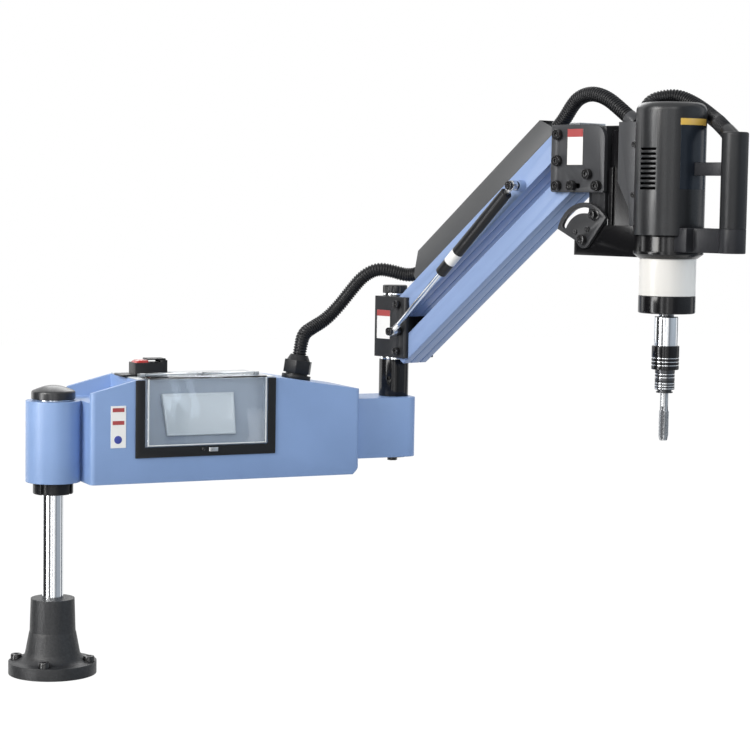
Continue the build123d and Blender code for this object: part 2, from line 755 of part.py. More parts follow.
# ---------------------------------------------------------------- parallelogram bars
def bar_outline():
    """One bar seen from the side: x along the link from its lower pin, y square to it."""
    length = LINK_LENGTH
    end = [(4, BAR_ABOVE), (-8, 5), (-12, -4), (-11, -14), (-8, -BAR_BELOW)]
    other = [(length - x, y) for x, y in reversed(end)]
    return Polygon(*end, *other, align=None)


def bar(head_bore):
    """A hollow bar with solid ends, bored for its pins, and two grooves along its underside."""
    body = side_plate(bar_outline(), -BAR_HALF, BAR_HALF)
    inner = BAR_HALF - BAR_WALL
    top = BAR_ABOVE - BAR_WALL
    low = BAR_WALL - BAR_BELOW
    body -= block(BAR_END_THICK, LINK_LENGTH - BAR_END_THICK, -inner, inner, low, top)
    for side in (-1, 1):
        outer = side * (BAR_HALF - GROOVE_IN)
        near, far = sorted((outer, outer - side * GROOVE_WIDTH))
        floor = GROOVE_DEPTH - BAR_BELOW
        body -= block(-BAR_HALF, LINK_LENGTH + BAR_HALF, near, far, -BAR_BELOW - 1, floor)
    for x, bore in ((0, PIN_R + FIT), (LINK_LENGTH, head_bore)):
        body -= across(bore, -BAR_HALF - 1, BAR_HALF + 1, x, 0)
    return body


def spring_boss_end():
    return SPRING_PLANE - EYE_THICK / 2 - RUN - 5


def upper_bar():
    body = bar(PIN_R + FIT)
    body += across(BOSS_R, -spring_boss_end(), -BAR_HALF + 1, SPRING_HEAD_U, SPRING_HEAD_V)
    return elbow_place * link_place * body


def lower_bar():
    drop = Pos(0, 0, -LINK_SPACING)
    return elbow_place * drop * link_place * bar(PIN_R + OPEN_PIN_GAP)


def cable_cover():
    """The folded sheet channel on top of the upper bar that hides the hose."""
    low = BAR_ABOVE
    high = BAR_ABOVE + COVER_DEPTH
    wall = COVER_WALL
    half = BAR_HALF
    outline = Polygon(
        (COVER_START, low),
        (COVER_END + 14, low),
        (COVER_END + 14, low + 12),
        (COVER_END, high),
        (COVER_START + COVER_LEAN, high),
        (COVER_START, low + 8),
        align=None,
    )
    body = side_plate(outline, -half, half)
    body -= block(COVER_START - 10, COVER_END + 30, wall - half, half - wall, low - 1, high - wall)
    for start in (COVER_GATE_LOW + RUN, COVER_GATE_HIGH - RUN - 2):
        gate = block(start, start + 2, wall - half, half - wall, low, high - wall)
        gate &= side_plate(outline, -half, half)
        body += gate - lengthwise(HOSE_BORE_R, start - 1, start + 3, 0, HOSE_LANE)
    return elbow_place * link_place * body


# ---------------------------------------------------------------- gas spring
def spring_head():
    """The upper spring stud, in the arm's plane."""
    turn = radians(LINK_ANGLE)
    x = LINK_X + SPRING_HEAD_U * cos(turn) - SPRING_HEAD_V * sin(turn)
    z = LINK_HIGH_Z + SPRING_HEAD_U * sin(turn) + SPRING_HEAD_V * cos(turn)
    return x, z


def spring_length():
    x, z = spring_head()
    return sqrt((x - SPRING_FOOT_X) ** 2 + (z - SPRING_FOOT_Z) ** 2)


def spring_place():
    x, z = spring_head()
    rise = degrees(atan2(z - SPRING_FOOT_Z, x - SPRING_FOOT_X))
    return Pos(SPRING_FOOT_X, -SPRING_PLANE, SPRING_FOOT_Z) * Rot(0, -rise, 0)


def eye(at):
    ring = across(EYE_R, -EYE_THICK / 2, EYE_THICK / 2, at, 0)
    return ring


def gas_rod():
    body = lengthwise(ROD_R, 18, PISTON_START + 1, 0, 0)
    piston_r = CYLINDER_R - CYLINDER_WALL - 0.4
    body += lengthwise(piston_r, PISTON_START, PISTON_START + PISTON_THICK, 0, 0)
    return elbow_place * spring_place() * body


def rod_eye():
    body = eye(0) + lengthwise(EYE_NECK_R, 4, 18, 0, 0)
    body -= across(STUD_R + FIT, -EYE_THICK, EYE_THICK, 0, 0)
    return elbow_place * spring_place() * body


def gas_cylinder():
    end = spring_length() - 17
    body = lengthwise(CYLINDER_R, CYLINDER_START, end, 0, 0)
    body = chamfer(body.edges().filter_by(GeomType.CIRCLE), 1.5)
    inner = CYLINDER_R - CYLINDER_WALL
    body -= lengthwise(inner, CYLINDER_START + CYLINDER_CAP, end - CYLINDER_CAP, 0, 0)
    body -= lengthwise(ROD_R + FIT, CYLINDER_START - 1, CYLINDER_START + CYLINDER_CAP + 1, 0, 0)
    return elbow_place * spring_place() * body


def cylinder_eye():
    length = spring_length()
    body = eye(length) + lengthwise(EYE_NECK_R, length - 17, length - 4, 0, 0)
    body -= across(STUD_R + FIT, -EYE_THICK, EYE_THICK, length, 0)
    return elbow_place * spring_place() * body


def upper_stud():
    """The stud in the cylinder's eye. Its foot lies on the arm's boss without being fixed to it."""
    length = spring_length()
    far = EYE_THICK / 2 + RUN
    foot = across(STUD_HEAD_R, far, far + 5 - RUN, length, 0)
    shank = across(STUD_R, -far - 1, far + 1, length, 0)
    head = across(STUD_HEAD_R, -far - 6, -far, length, 0)
    return elbow_place * spring_place() * (foot + shank + head)


# ---------------------------------------------------------------- head bracket
HEAD_BOLTS = ((0.1, -41.4), (32.2, -80.8), (65.3, -62.4), (85.2, -80.5))


def head_outline():
    left = HEAD_X - PLATE_LEFT
    right = HEAD_X + PLATE_RIGHT
    high = HEAD_Z + PLATE_ABOVE
    low = HEAD_Z - PLATE_BELOW
    face = Polygon((left, low), (right, low), (right, high), (left, high), align=None)
    corners = face.vertices()
    top_right = corners.sort_by(Axis.X)[-2:].sort_by(Axis.Y)[-1]
    face = fillet(top_right, PLATE_CORNER_R)
    low_pair = face.vertices().sort_by(Axis.Y)[:2]
    return fillet(low_pair, 5)


def head_plate(near, far):
    body = side_plate(head_outline(), near, far)
    for z in (HEAD_Z, HEAD_Z - LINK_SPACING):
        body -= across(PIN_R + FIT, near - 1, far + 1, HEAD_X, z)
    for dx, dz in HEAD_BOLTS:
        body -= across(HEAD_BOLT_R + FIT, near - 1, far + 1, HEAD_X + dx, HEAD_Z + dz)
    slot_x, slot_z = HEAD_BOLTS[1]
    x = HEAD_X + slot_x
    z = HEAD_Z + slot_z
    reach = 12
    body -= across(HEAD_BOLT_R + FIT, near - 1, far + 1, x + reach, z)
    body -= block(x, x + reach, near - 1, far + 1, z - HEAD_BOLT_R, z + HEAD_BOLT_R)
    return elbow_place * body


def slot_bolt_spot():
    turn = radians(SECTOR_START)
    return TILT_X + SECTOR_SLOT_R * cos(turn), TILT_Z + SECTOR_SLOT_R * sin(turn)


def head_core():
    left = HEAD_X + CORE_LEFT
    right = HEAD_X + CORE_RIGHT
    low = HEAD_Z - PLATE_BELOW + 2
    high = HEAD_Z + PLATE_ABOVE - 3
    foot = TILT_Z + CORE_FOOT_CLEAR
    body = block(left, right, -CHEEK_IN, CHEEK_IN, low, high)
    bolt_x, bolt_z = slot_bolt_spot()
    body += block(bolt_x - 13, right, -CHEEK_IN, CHEEK_IN, foot, low + 1)
    body += block(TILT_X - EAR_R, TILT_X + EAR_R, -EAR_HALF, EAR_HALF, TILT_Z, low + 1)
    body += across(EAR_R, -EAR_HALF, EAR_HALF, TILT_X, TILT_Z)
    body -= across(PIN_R + FIT, -EAR_HALF - 1, EAR_HALF + 1, TILT_X, TILT_Z)
    body -= across(HEAD_BOLT_R + FIT, -CHEEK_IN - 1, 0, bolt_x, bolt_z)
    for dx, dz in HEAD_BOLTS[1:]:
        body -= across(HEAD_BOLT_R + FIT, -CHEEK_IN - 1, CHEEK_IN + 1, HEAD_X + dx, HEAD_Z + dz)
    return elbow_place * body


def head_bolts():
    pins = [bolt_across(PIN_R, HEAD_X, z) for z in (HEAD_Z, HEAD_Z - LINK_SPACING)]
    screws = [bolt_across(HEAD_BOLT_R, HEAD_X + dx, HEAD_Z + dz) for dx, dz in HEAD_BOLTS]
    return elbow_place * Compound(pins + screws)


def slot_bolt():
    x, z = slot_bolt_spot()
    near = -SECTOR_OUT - RUN
    body = across(HEAD_BOLT_R, near - 1, 0, x, z)
    body += across(9.5, near - 1.6, near, x, z)
    body += across(PIN_HEAD_R, near - 1.6 - PIN_HEAD, near - 1, x, z)
    return elbow_place * body


def tilt_pin():
    body = across(PIN_R, -SECTOR_OUT - 1, CHEEK_IN + 6, TILT_X, TILT_Z)
    body += across(PIN_HEAD_R + 1, -SECTOR_OUT - PIN_HEAD, -SECTOR_OUT, TILT_X, TILT_Z)
    body += hex_nut_across(13, SECTOR_IN, SECTOR_IN + 6, TILT_X, TILT_Z)
    return elbow_place * body


# ---------------------------------------------------------------- motor carriage
def tilt_sector():
    """The slotted quarter plate that guides and clamps the tilt."""
    first = SECTOR_START
    last = SECTOR_START + TILT_RANGE
    margin = 7.0
    spread = SECTOR_OUTER_R
    a0 = radians(first - 22)
    a1 = radians(last + 16)
    foot = 13.0
    rim = ThreePointArc(
        (spread * cos(a0), spread * sin(a0)),
        (spread * cos((a0 + a1) / 2), spread * sin((a0 + a1) / 2)),
        (spread * cos(a1), spread * sin(a1)),
    )
    left_foot = (-foot, -4)
    right_foot = (foot * 0.8, -9)
    edges = [
        rim,
        Line(rim @ 1, left_foot),
        ThreePointArc(left_foot, (0, -foot - 1), right_foot),
        Line(right_foot, rim @ 0),
    ]
    body = side_plate(make_face(edges), -SECTOR_OUT, -SECTOR_IN)
    slot = SlotArc(
        CenterArc((0, 0), SECTOR_SLOT_R, first - margin / 3, TILT_RANGE + margin),
        2 * SECTOR_SLOT_HALF,
    )
    body -= side_plate(slot, -SECTOR_OUT - 1, -SECTOR_IN + 1)
    body -= across(PIN_R + FIT, -SECTOR_OUT - 1, -SECTOR_IN + 1, 0, 0)
    return carriage_place * body


def motor_bracket():
    """The forked block on the tilt pin, with the ring under the motor and the upright behind it."""
    left = -BLOCK_BEHIND
    low = -BLOCK_BELOW
    high = BLOCK_ABOVE
    outline = Polygon((left, low), (MOTOR_X, low), (MOTOR_X, high), (left, high), align=None)
    outline = fillet(outline.vertices().group_by(Axis.X)[0].sort_by(Axis.Y)[-1], BLOCK_CORNER_R)
    body = side_plate(outline, -SECTOR_IN, SECTOR_IN)
    half = UPRIGHT_HALF
    back = block(UPRIGHT_LEFT, MOTOR_X, -half, half, high - 1, UPRIGHT_TOP)
    body += back - side_plate(wire_box_outline(0), -CHEEK_OUT, CHEEK_OUT)
    body += block(UPRIGHT_LEFT, UPRIGHT_LEFT + 8, -CHEEK_IN, CHEEK_IN, high - 1, high + 90)
    body -= upright(RING_NECK_R, low - 1, MOTOR_BOTTOM, MOTOR_X)
    body -= upright(MOTOR_R + FIT, MOTOR_BOTTOM, UPRIGHT_TOP + 1, MOTOR_X)
    ledge = [(GEARBOX_R + 2, GEARBOX_TOP), (MOTOR_R, RING_BOTTOM), (MOTOR_R, HANDLE_BOTTOM)]
    body += turned(ledge + [(RING_NECK_R, HANDLE_BOTTOM), (RING_NECK_R, MOTOR_BOTTOM)], MOTOR_X)
    body -= upright(GEARBOX_NECK_R + FIT, GEARBOX_TOP - 1, MOTOR_BOTTOM + 1, MOTOR_X)
    fork = EAR_HALF + RUN
    body -= block(left - 1, EAR_R + 1, -fork, fork, low - 1, high + 1)
    body -= across(PIN_R + FIT, -SECTOR_IN - 1, SECTOR_IN + 1, 0, 0)
    return carriage_place * body


def wire_box_outline(wall):
    """Side view of the cable box, drawn in from its outer face by wall."""
    left = WIRE_BOX_LEFT + wall
    low = BLOCK_ABOVE + wall
    return Polygon(
        (left + WIRE_BOX_TAPER + 2, low),
        (MOTOR_X, low),
        (MOTOR_X, WIRE_BOX_TOP - wall),
        (left, WIRE_BOX_TOP - wall),
        (left, WIRE_BOX_TOP - WIRE_BOX_TAPER_TOP),
        (left + WIRE_BOX_TAPER, WIRE_BOX_TOP - WIRE_BOX_TAPER_FOOT),
        align=None,
    )


def socket(before, spot, length):
    """A short tube in line with a hose's last run, starting RUN beyond the hose's end."""
    along, near, height = spot
    go_along = along - before[0]
    go_near = near - before[1]
    turn = degrees(atan2(go_near, go_along))
    drop = degrees(atan2(before[2] - height, sqrt(go_along**2 + go_near**2)))
    tube = lengthwise(SOCKET_R, RUN, length, 0, 0) - lengthwise(HOSE_BORE_R, 0, 6, 0, 0)
    return Pos(along, -near, height) * Rot(0, 0, -turn) * Rot(0, drop, 0) * tube


def wire_box():
    wall = WIRE_BOX_WALL
    half = CHEEK_OUT
    body = side_plate(wire_box_outline(0), -half, half)
    body -= upright(MOTOR_R + FIT, MOTOR_BOTTOM - 10, MOTOR_TOP, MOTOR_X)
    inner = side_plate(wire_box_outline(wall), wall - half, half - wall)
    inner -= upright(MOTOR_R + wall, MOTOR_BOTTOM - 10, MOTOR_TOP, MOTOR_X)
    body += socket(BOX_APPROACH, BOX_SOCKET, 20)
    return carriage_place * (body - inner)


def motor_profile(radius, low, high, dome):
    """Half section of the domed motor cover."""
    corner = ThreePointArc(
        (radius, high - dome),
        (radius - dome * (1 - cos(radians(45))), high - dome * (1 - sin(radians(45)))),
        (radius - dome, high),
    )
    edges = [
        Line((0, low), (radius, low)),
        Line((radius, low), (radius, high - dome)),
        corner,
        Line((radius - dome, high), (0, high)),
        Line((0, high), (0, low)),
    ]
    return Plane.XZ * make_face(edges)


def motor_housing():
    outer = revolve(motor_profile(MOTOR_R, MOTOR_BOTTOM, MOTOR_TOP, MOTOR_DOME_R), Axis.Z)
    wall = MOTOR_WALL
    high = MOTOR_TOP - wall
    low = MOTOR_BOTTOM + wall
    inner = revolve(motor_profile(MOTOR_R - wall, low, high, MOTOR_DOME_R - wall), Axis.Z)
    body = outer - inner
    for n in range(SLOT_COUNT):
        z = SLOT_LOWEST_Z + n * SLOT_PITCH
        slot_half = SLOT_LENGTH / 2
        height = SLOT_HEIGHT / 2
        for near, far in ((-MOTOR_R - 1, -MOTOR_R + 15), (MOTOR_R - 15, MOTOR_R + 1)):
            body -= block(-slot_half, slot_half, near, far, z - height, z + height)
    return carriage_place * Pos(MOTOR_X, 0, 0) * body


def motor_core():
    body = upright(STATOR_R, MOTOR_BOTTOM + MOTOR_WALL, STATOR_TOP, MOTOR_X)
    body += upright(8, STATOR_TOP - 1, MOTOR_TOP - MOTOR_WALL - 6, MOTOR_X)
    body += upright(36, STATOR_TOP + 8, STATOR_TOP + 24, MOTOR_X)
    return carriage_place * body


def gearbox():
    body = upright(GEARBOX_R, GEARBOX_BOTTOM, GEARBOX_TOP, MOTOR_X)
    body = fillet(body.edges().filter_by(GeomType.CIRCLE), 1.0)
    body += upright(GEARBOX_NECK_R, GEARBOX_TOP - 2, MOTOR_BOTTOM, MOTOR_X)
    body -= upright(SHAFT_R + 3, GEARBOX_BOTTOM - 1, SHAFT_TOP + 3, MOTOR_X)
    return carriage_place * body


def spindle_nose():
    body = upright(NOSE_R, NOSE_BOTTOM, GEARBOX_BOTTOM, MOTOR_X)
    body = chamfer(body.edges().filter_by(GeomType.CIRCLE).sort_by(Axis.Z)[0], 1.5)
    body -= upright(SHAFT_R + 1, NOSE_BOTTOM - 1, GEARBOX_BOTTOM + 1, MOTOR_X)
    body -= upright(BEARING_R + FIT, GEARBOX_BOTTOM - BEARING_THICK, GEARBOX_BOTTOM + 1, MOTOR_X)
    return carriage_place * body


def nose_bearing():
    low = GEARBOX_BOTTOM - BEARING_THICK
    ring = upright(BEARING_R, low, GEARBOX_BOTTOM, MOTOR_X)
    ring -= upright(SHAFT_R + FIT, low - 1, GEARBOX_BOTTOM + 1, MOTOR_X)
    return carriage_place * ring


def handle_arm():
    """The clamp on the motor ring, the arm out to the handle's foot, and the short brace above it."""
    low = HANDLE_BOTTOM
    high = HANDLE_ARM_TOP
    arm = block(MOTOR_X, CLAMP_END, -CLAMP_HALF, CLAMP_HALF, low, high)
    arm += block(CLAMP_END - 1, HANDLE_X, -HANDLE_ARM_HALF, HANDLE_ARM_HALF, low, high)
    arm += upright(HANDLE_R, low, high, HANDLE_X)
    arm -= upright(RING_NECK_R + FIT, low - 1, MOTOR_BOTTOM + 1, MOTOR_X)
    arm -= upright(MOTOR_R + FIT, MOTOR_BOTTOM - FIT, high + 1, MOTOR_X)
    arm -= block(MOTOR_X - 1, MOTOR_X + FIT, -CLAMP_HALF - 1, CLAMP_HALF + 1, low - 1, high + 1)
    arm -= upright(HANDLE_SPIGOT_R + FIT, low + 6, high + 1, HANDLE_X)
    brace_low = BRACE_Z - BRACE_HEIGHT / 2
    brace = block(MOTOR_X, HANDLE_X, -BRACE_HALF, BRACE_HALF, brace_low, brace_low + BRACE_HEIGHT)
    brace -= upright(MOTOR_R + FIT, brace_low - 1, brace_low + BRACE_HEIGHT + 1, MOTOR_X)
    brace -= upright(HANDLE_R + FIT, brace_low - 1, brace_low + BRACE_HEIGHT + 1, HANDLE_X)
    return carriage_place * Compound([arm, brace])


def handle_grip():
    body = upright(HANDLE_R, HANDLE_ARM_TOP, HANDLE_TOP, HANDLE_X)
    body = fillet(body.edges().filter_by(GeomType.CIRCLE).sort_by(Axis.Z)[-1], 3)
    body += upright(HANDLE_SPIGOT_R, HANDLE_BOTTOM + 6, HANDLE_ARM_TOP + 1, HANDLE_X)
    start = HANDLE_ARM_TOP + 14
    x = HANDLE_X - HANDLE_R - FINGER_R + FINGER_DEPTH
    for n in range(FINGER_COUNT - 1):
        z = start + n * FINGER_PITCH
        body -= across(FINGER_R, -HANDLE_R - 1, HANDLE_R + 1, x, z)
    body -= across(PUSH_R + RUN, HANDLE_R - PUSH_TRAVEL - 6, HANDLE_R + 1, HANDLE_X, PUSH_Z)
    body += socket(HANDLE_APPROACH, HANDLE_SOCKET, 26)
    return carriage_place * body


def handle_push():
    far = HANDLE_R + PUSH_PROUD
    body = across(PUSH_R, HANDLE_R - 5, far, HANDLE_X, PUSH_Z)
    return carriage_place * body


# ---------------------------------------------------------------- spindle, chuck and tap
def spindle():
    body = upright(SPINDLE_R, SPINDLE_BOTTOM, SPINDLE_TOP, MOTOR_X)
    body = chamfer(body.edges().filter_by(GeomType.CIRCLE).sort_by(Axis.Z)[-1], 1)
    body += upright(SHAFT_R, SPINDLE_TOP - 1, SHAFT_TOP, MOTOR_X)
    body -= upright(HOLDER_SPIGOT_R + FIT, SPINDLE_BOTTOM - 1, HOLDER_SPIGOT_TOP + 1, MOTOR_X)
    return carriage_place * body


def chuck_sleeve():
    body = upright(SLEEVE_R, SLEEVE_BOTTOM, SLEEVE_TOP, MOTOR_X)
    body = chamfer(body.edges().filter_by(GeomType.CIRCLE), 0.8)
    for z in (SLEEVE_BOTTOM + 7, SLEEVE_BOTTOM + 12.5, SLEEVE_BOTTOM + 18):
        groove = upright(SLEEVE_R + 1, z - 1, z + 1, MOTOR_X)
        body -= groove - upright(SLEEVE_R - RING_GROOVE, z - 2, z + 2, MOTOR_X)
    body -= upright(SPINDLE_R + FIT, SLEEVE_BOTTOM - 1, SLEEVE_TOP + 1, MOTOR_X)
    return carriage_place * body


def tap_holder():
    body = upright(HOLDER_R, HOLDER_STEP_Z, SPINDLE_BOTTOM, MOTOR_X)
    body += upright(HOLDER_SPIGOT_R, SPINDLE_BOTTOM - 1, HOLDER_SPIGOT_TOP, MOTOR_X)
    body += upright(HOLDER_NOSE_R, HOLDER_BOTTOM, HOLDER_STEP_Z + 1, MOTOR_X)
    body += upright(HOLDER_NOSE_R + 2, HOLDER_BOTTOM, HOLDER_BOTTOM + 2, MOTOR_X)
    for z in (HOLDER_STEP_Z + 6, HOLDER_STEP_Z + 11):
        groove = upright(HOLDER_R + 1, z - 1, z + 1, MOTOR_X)
        body -= groove - upright(HOLDER_R - RING_GROOVE, z - 2, z + 2, MOTOR_X)
    body -= upright(TAP_SHANK_R + FIT, HOLDER_BOTTOM - 1, TAP_SHANK_TOP, MOTOR_X)
    return carriage_place * body


def holder_collar():
    body = upright(HOLDER_R, COLLAR_BOTTOM, HOLDER_STEP_Z - RUN, MOTOR_X)
    body = chamfer(body.edges().filter_by(GeomType.CIRCLE), 0.6)
    body -= upright(HOLDER_NOSE_R + FIT, COLLAR_BOTTOM - 1, HOLDER_STEP_Z + 1, MOTOR_X)
    return carriage_place * body


def tap():
    tip = TAP_THREAD_R - 2
    body = turned(
        [
            (tip, TAP_TIP),
            (TAP_THREAD_R, TAP_TIP + 8),
            (TAP_THREAD_R, TAP_THREAD_TOP),
            (TAP_SHANK_R, TAP_THREAD_TOP + 3),
            (TAP_SHANK_R, TAP_SHANK_TOP),
        ]
    )
    for n in range(TAP_FLUTES):
        flute = upright(3.2, TAP_TIP - 1, TAP_THREAD_TOP + 8, TAP_THREAD_R + 0.6)
        body -= Rot(0, 0, n * 360 / TAP_FLUTES + 20) * flute
    return carriage_place * Pos(MOTOR_X, 0, 0) * body


# ---------------------------------------------------------------- hoses
def arm_point(along, near, z):
    """A point of the arm's plane in the machine's frame; near counts towards the gas spring."""
    turn = radians(ELBOW_YAW)
    x = REACH + along * cos(turn) + near * sin(turn)
    y = along * sin(turn) - near * cos(turn)
    return (x, y, z)


def head_point(along, near, rise):
    """A point of the arm's plane, measured from the upper link's head pin."""
    return arm_point(HEAD_X + along, near, HEAD_Z + rise)


def carriage_point(along, near, rise):
    """A point of the arm's plane, measured from the tilt pivot."""
    return arm_point(TILT_X + along, near, TILT_Z + rise)


def corner_radii(route):
    """As large an arc at each corner as its two runs allow."""
    radii = []
    for before, here, after in zip(route, route[1:], route[2:]):
        come = Vector(*here) - Vector(*before)
        go = Vector(*after) - Vector(*here)
        half_turn = radians(come.get_angle(go)) / 2
        radii.append(0.45 * min(come.length, go.length) / tan(half_turn))
    return radii


def ribbed_hose(name, route, cross):
    """A corrugated hose: ribs lofted through four circles each, with an open bore."""
    radii = corner_radii(route)
    line = FilletPolyline(*route, radius=radii)
    print(name, "length", round(line.length, 1), "radii", [round(r, 1) for r in radii])
    count = round(line.length / RIB_PITCH)
    profile = ((0.0, HOSE_ROOT_R), (0.2, HOSE_R), (0.6, HOSE_R), (0.8, HOSE_ROOT_R))
    sections = []
    for rib in range(count):
        for share, radius in profile:
            sections.append(hose_circle(line, (rib + share) / count, radius, cross))
    sections.append(hose_circle(line, 1.0, HOSE_ROOT_R, cross))
    outer = loft(sections, ruled=True)
    bore = sweep(hose_circle(line, 0.0, HOSE_BORE_R, cross), path=line)
    return outer - bore


def hose_circle(line, share, radius, cross):
    """A round section of a hose, its X axis kept as near as can be to the cross direction."""
    tangent = line % share
    way = Vector(*cross)
    steady = way - tangent * way.dot(tangent)
    plane = Plane(origin=line @ share, x_dir=steady, z_dir=tangent)
    return plane * Circle(radius)


def gland_point(rise):
    turn = radians(slope_angle())
    return (GLAND_X + rise * sin(turn), 0.0, slope_z(GLAND_X) + rise * cos(turn))


def cover_point(along_link, above_link):
    """A point inside the cable cover, in the arm's plane."""
    turn = radians(LINK_ANGLE)
    along = LINK_X + along_link * cos(turn) - above_link * sin(turn)
    height = LINK_HIGH_Z + along_link * sin(turn) + above_link * cos(turn)
    return arm_point(along, 0, height)


def elbow_route():
    """From the gland up and over the elbow into the foot of the cable cover."""
    return [
        gland_point(gland_top()),
        gland_point(gland_top() + 14),
        (447.0, 6.0, 557.0),
        (468.0, 14.0, 567.0),
        (494.0, 18.0, 580.0),
        (517.0, 14.0, 604.0),
        (536.0, 5.0, 632.0),
        (553.0, -7.0, 657.0),
        (575.0, -19.0, 670.0),
        (599.0, -31.0, 666.0),
        (619.0, -44.0, 659.0),
        cover_point(COVER_GATE_LOW - 24, HOSE_LANE),
        cover_point(COVER_GATE_LOW, HOSE_LANE),
    ]


def head_route():
    """From the top of the cable cover over the head plates into the cable box."""
    rest = [(0.4, 1, 53), (22.4, 3, 63), (46.4, 4, 65), (71.4, 4, 58)]
    points = [cover_point(COVER_GATE_HIGH, HOSE_LANE), cover_point(COVER_GATE_HIGH + 24, HOSE_LANE)]
    points += [head_point(*spot) for spot in rest]
    return points + [carriage_point(*BOX_APPROACH), carriage_point(*BOX_SOCKET)]


def handle_route():
    """From the cable box round the back of the motor into the top of the handle."""
    points = [
        (WIRE_BOX_LEFT + 3, -22.5, WIRE_BOX_TOP),
        (WIRE_BOX_LEFT + 3, -22.5, WIRE_BOX_TOP + 21),
        (74, -38, 219),
        (87, -54, 225),
        (104, -64, 225),
        (124, -69.5, 217),
        (145, -69, 207),
        (166, -65, 196),
        (187, -55, 187),
        (206, -38, 183),
        HANDLE_APPROACH,
        HANDLE_SOCKET,
    ]
    return [carriage_point(*spot) for spot in points]


# ---------------------------------------------------------------- all nodes
NODES = {
    "base_casting": base_casting(),
    "column": column(),
    "collar_nut": collar_nut(),
    "cap_ring": cap_ring(),
    "column_cap": column_cap(),
    "arm_casting": arm_casting(),
    "hub_bushes": hub_bushes(),
    "elbow_bushes": elbow_bushes(),
    "top_plate": top_plate(),
    "drive_unit": drive_unit(),
    "panel_bezel": panel_bezel(),
    "control_console": control_console(),
    "touch_screen": touch_screen(),
    "cover_hinge": cover_hinge(),
    "clear_cover": clear_cover(),
    "switch_housing": switch_housing(),
    "stop_button": stop_button(),
    "switch_flap": switch_flap(),
    "cable_gland": cable_gland(),
    "elbow_post": elbow_post(),
    "elbow_rings": elbow_rings(),
    "elbow_block": elbow_block(),
    "elbow_knob": elbow_knob(),
    "elbow_pins": elbow_pins(),
    "post_retainer": post_retainer(),
    "spring_stud": spring_stud(),
    "upper_bar": upper_bar(),
    "cable_cover": cable_cover(),
    "lower_bar": lower_bar(),
    "gas_rod": gas_rod(),
    "rod_eye": rod_eye(),
    "gas_cylinder": gas_cylinder(),
    "cylinder_eye": cylinder_eye(),
    "upper_stud": upper_stud(),
    "head_plate_near": head_plate(-CHEEK_OUT, -CHEEK_IN),
    "head_plate_far": head_plate(CHEEK_IN, CHEEK_OUT),
    "head_core": head_core(),
    "head_bolts": head_bolts(),
    "slot_bolt": slot_bolt(),
    "tilt_pin": tilt_pin(),
    "tilt_sector": tilt_sector(),
    "motor_bracket": motor_bracket(),
    "wire_box": wire_box(),
    "motor_housing": motor_housing(),
    "motor_core": motor_core(),
    "gearbox": gearbox(),
    "spindle_nose": spindle_nose(),
    "nose_bearing": nose_bearing(),
    "handle_arm": handle_arm(),
    "handle_grip": handle_grip(),
    "handle_push": handle_push(),
    "spindle": spindle(),
    "chuck_sleeve": chuck_sleeve(),
    "tap_holder": tap_holder(),
    "holder_collar": holder_collar(),
    "tap": tap(),
    "elbow_hose": ribbed_hose("elbow_hose", elbow_route(), (0.5, 0.85, -0.1)),
    "head_hose": ribbed_hose("head_hose", head_route(), (0.956, 0.292, 0.0)),
    "handle_hose": ribbed_hose("handle_hose", handle_route(), (0.956, 0.292, 0.0)),
}

os.makedirs("parts", exist_ok=True)
for node_name, shape in NODES.items():
    export_step(shape, f"parts/{node_name}.step")
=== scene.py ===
import json
from math import atan2, cos, pi, radians, sin, sqrt, tan

import bpy
import bmesh
from mathutils import Matrix, Vector

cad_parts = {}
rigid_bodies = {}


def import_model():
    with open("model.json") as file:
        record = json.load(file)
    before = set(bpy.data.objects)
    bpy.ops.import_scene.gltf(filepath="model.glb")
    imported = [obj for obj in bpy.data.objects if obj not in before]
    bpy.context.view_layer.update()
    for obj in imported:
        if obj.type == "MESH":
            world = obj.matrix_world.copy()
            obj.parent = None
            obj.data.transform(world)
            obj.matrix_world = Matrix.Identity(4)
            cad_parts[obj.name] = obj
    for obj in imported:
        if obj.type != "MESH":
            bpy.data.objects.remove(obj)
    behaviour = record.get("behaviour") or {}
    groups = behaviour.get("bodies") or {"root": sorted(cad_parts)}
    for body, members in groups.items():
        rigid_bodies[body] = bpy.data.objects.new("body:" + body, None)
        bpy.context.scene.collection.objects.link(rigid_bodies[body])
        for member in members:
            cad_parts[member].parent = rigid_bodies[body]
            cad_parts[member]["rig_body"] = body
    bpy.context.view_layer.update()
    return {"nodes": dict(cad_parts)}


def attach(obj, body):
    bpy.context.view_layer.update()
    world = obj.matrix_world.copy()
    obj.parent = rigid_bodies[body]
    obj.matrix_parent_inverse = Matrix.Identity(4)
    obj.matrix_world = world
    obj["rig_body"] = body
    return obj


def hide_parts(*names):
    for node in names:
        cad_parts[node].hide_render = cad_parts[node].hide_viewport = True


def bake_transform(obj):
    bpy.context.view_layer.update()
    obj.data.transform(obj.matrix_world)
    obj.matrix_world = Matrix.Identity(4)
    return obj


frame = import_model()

NODES = frame["nodes"]

bl_info = {
    "name": "Arm Tapping Machine",
    "version": (1, 0, 0),
    "blender": (4, 5, 0),
    "location": "View3D > Sidebar > Tapper",
    "description": "Dresses the arm tapping machine with its finishes, hoses, fasteners and stage",
    "category": "Object",
}

MM = 0.001

# Lengths in millimetres and angles in degrees. A pair is a place in the arm's plane: along it, and up.
ELBOW_AXIS = 618.0
ARM_TURN = -73.0
LINK_ANGLE = 37.8
LINK_PIVOT = (47.0, 609.5)
TILT_PIVOT = (473.983, 732.053)
MOTOR_AXIS = 619.983
SLOT_RADIUS, SLOT_BOLT_ANGLE = 45.7, 58.6
HEAD_PIN_FROM_TILT = (-56.4, 164.9)
SPRING_FOOT = (50.5, 563.3)
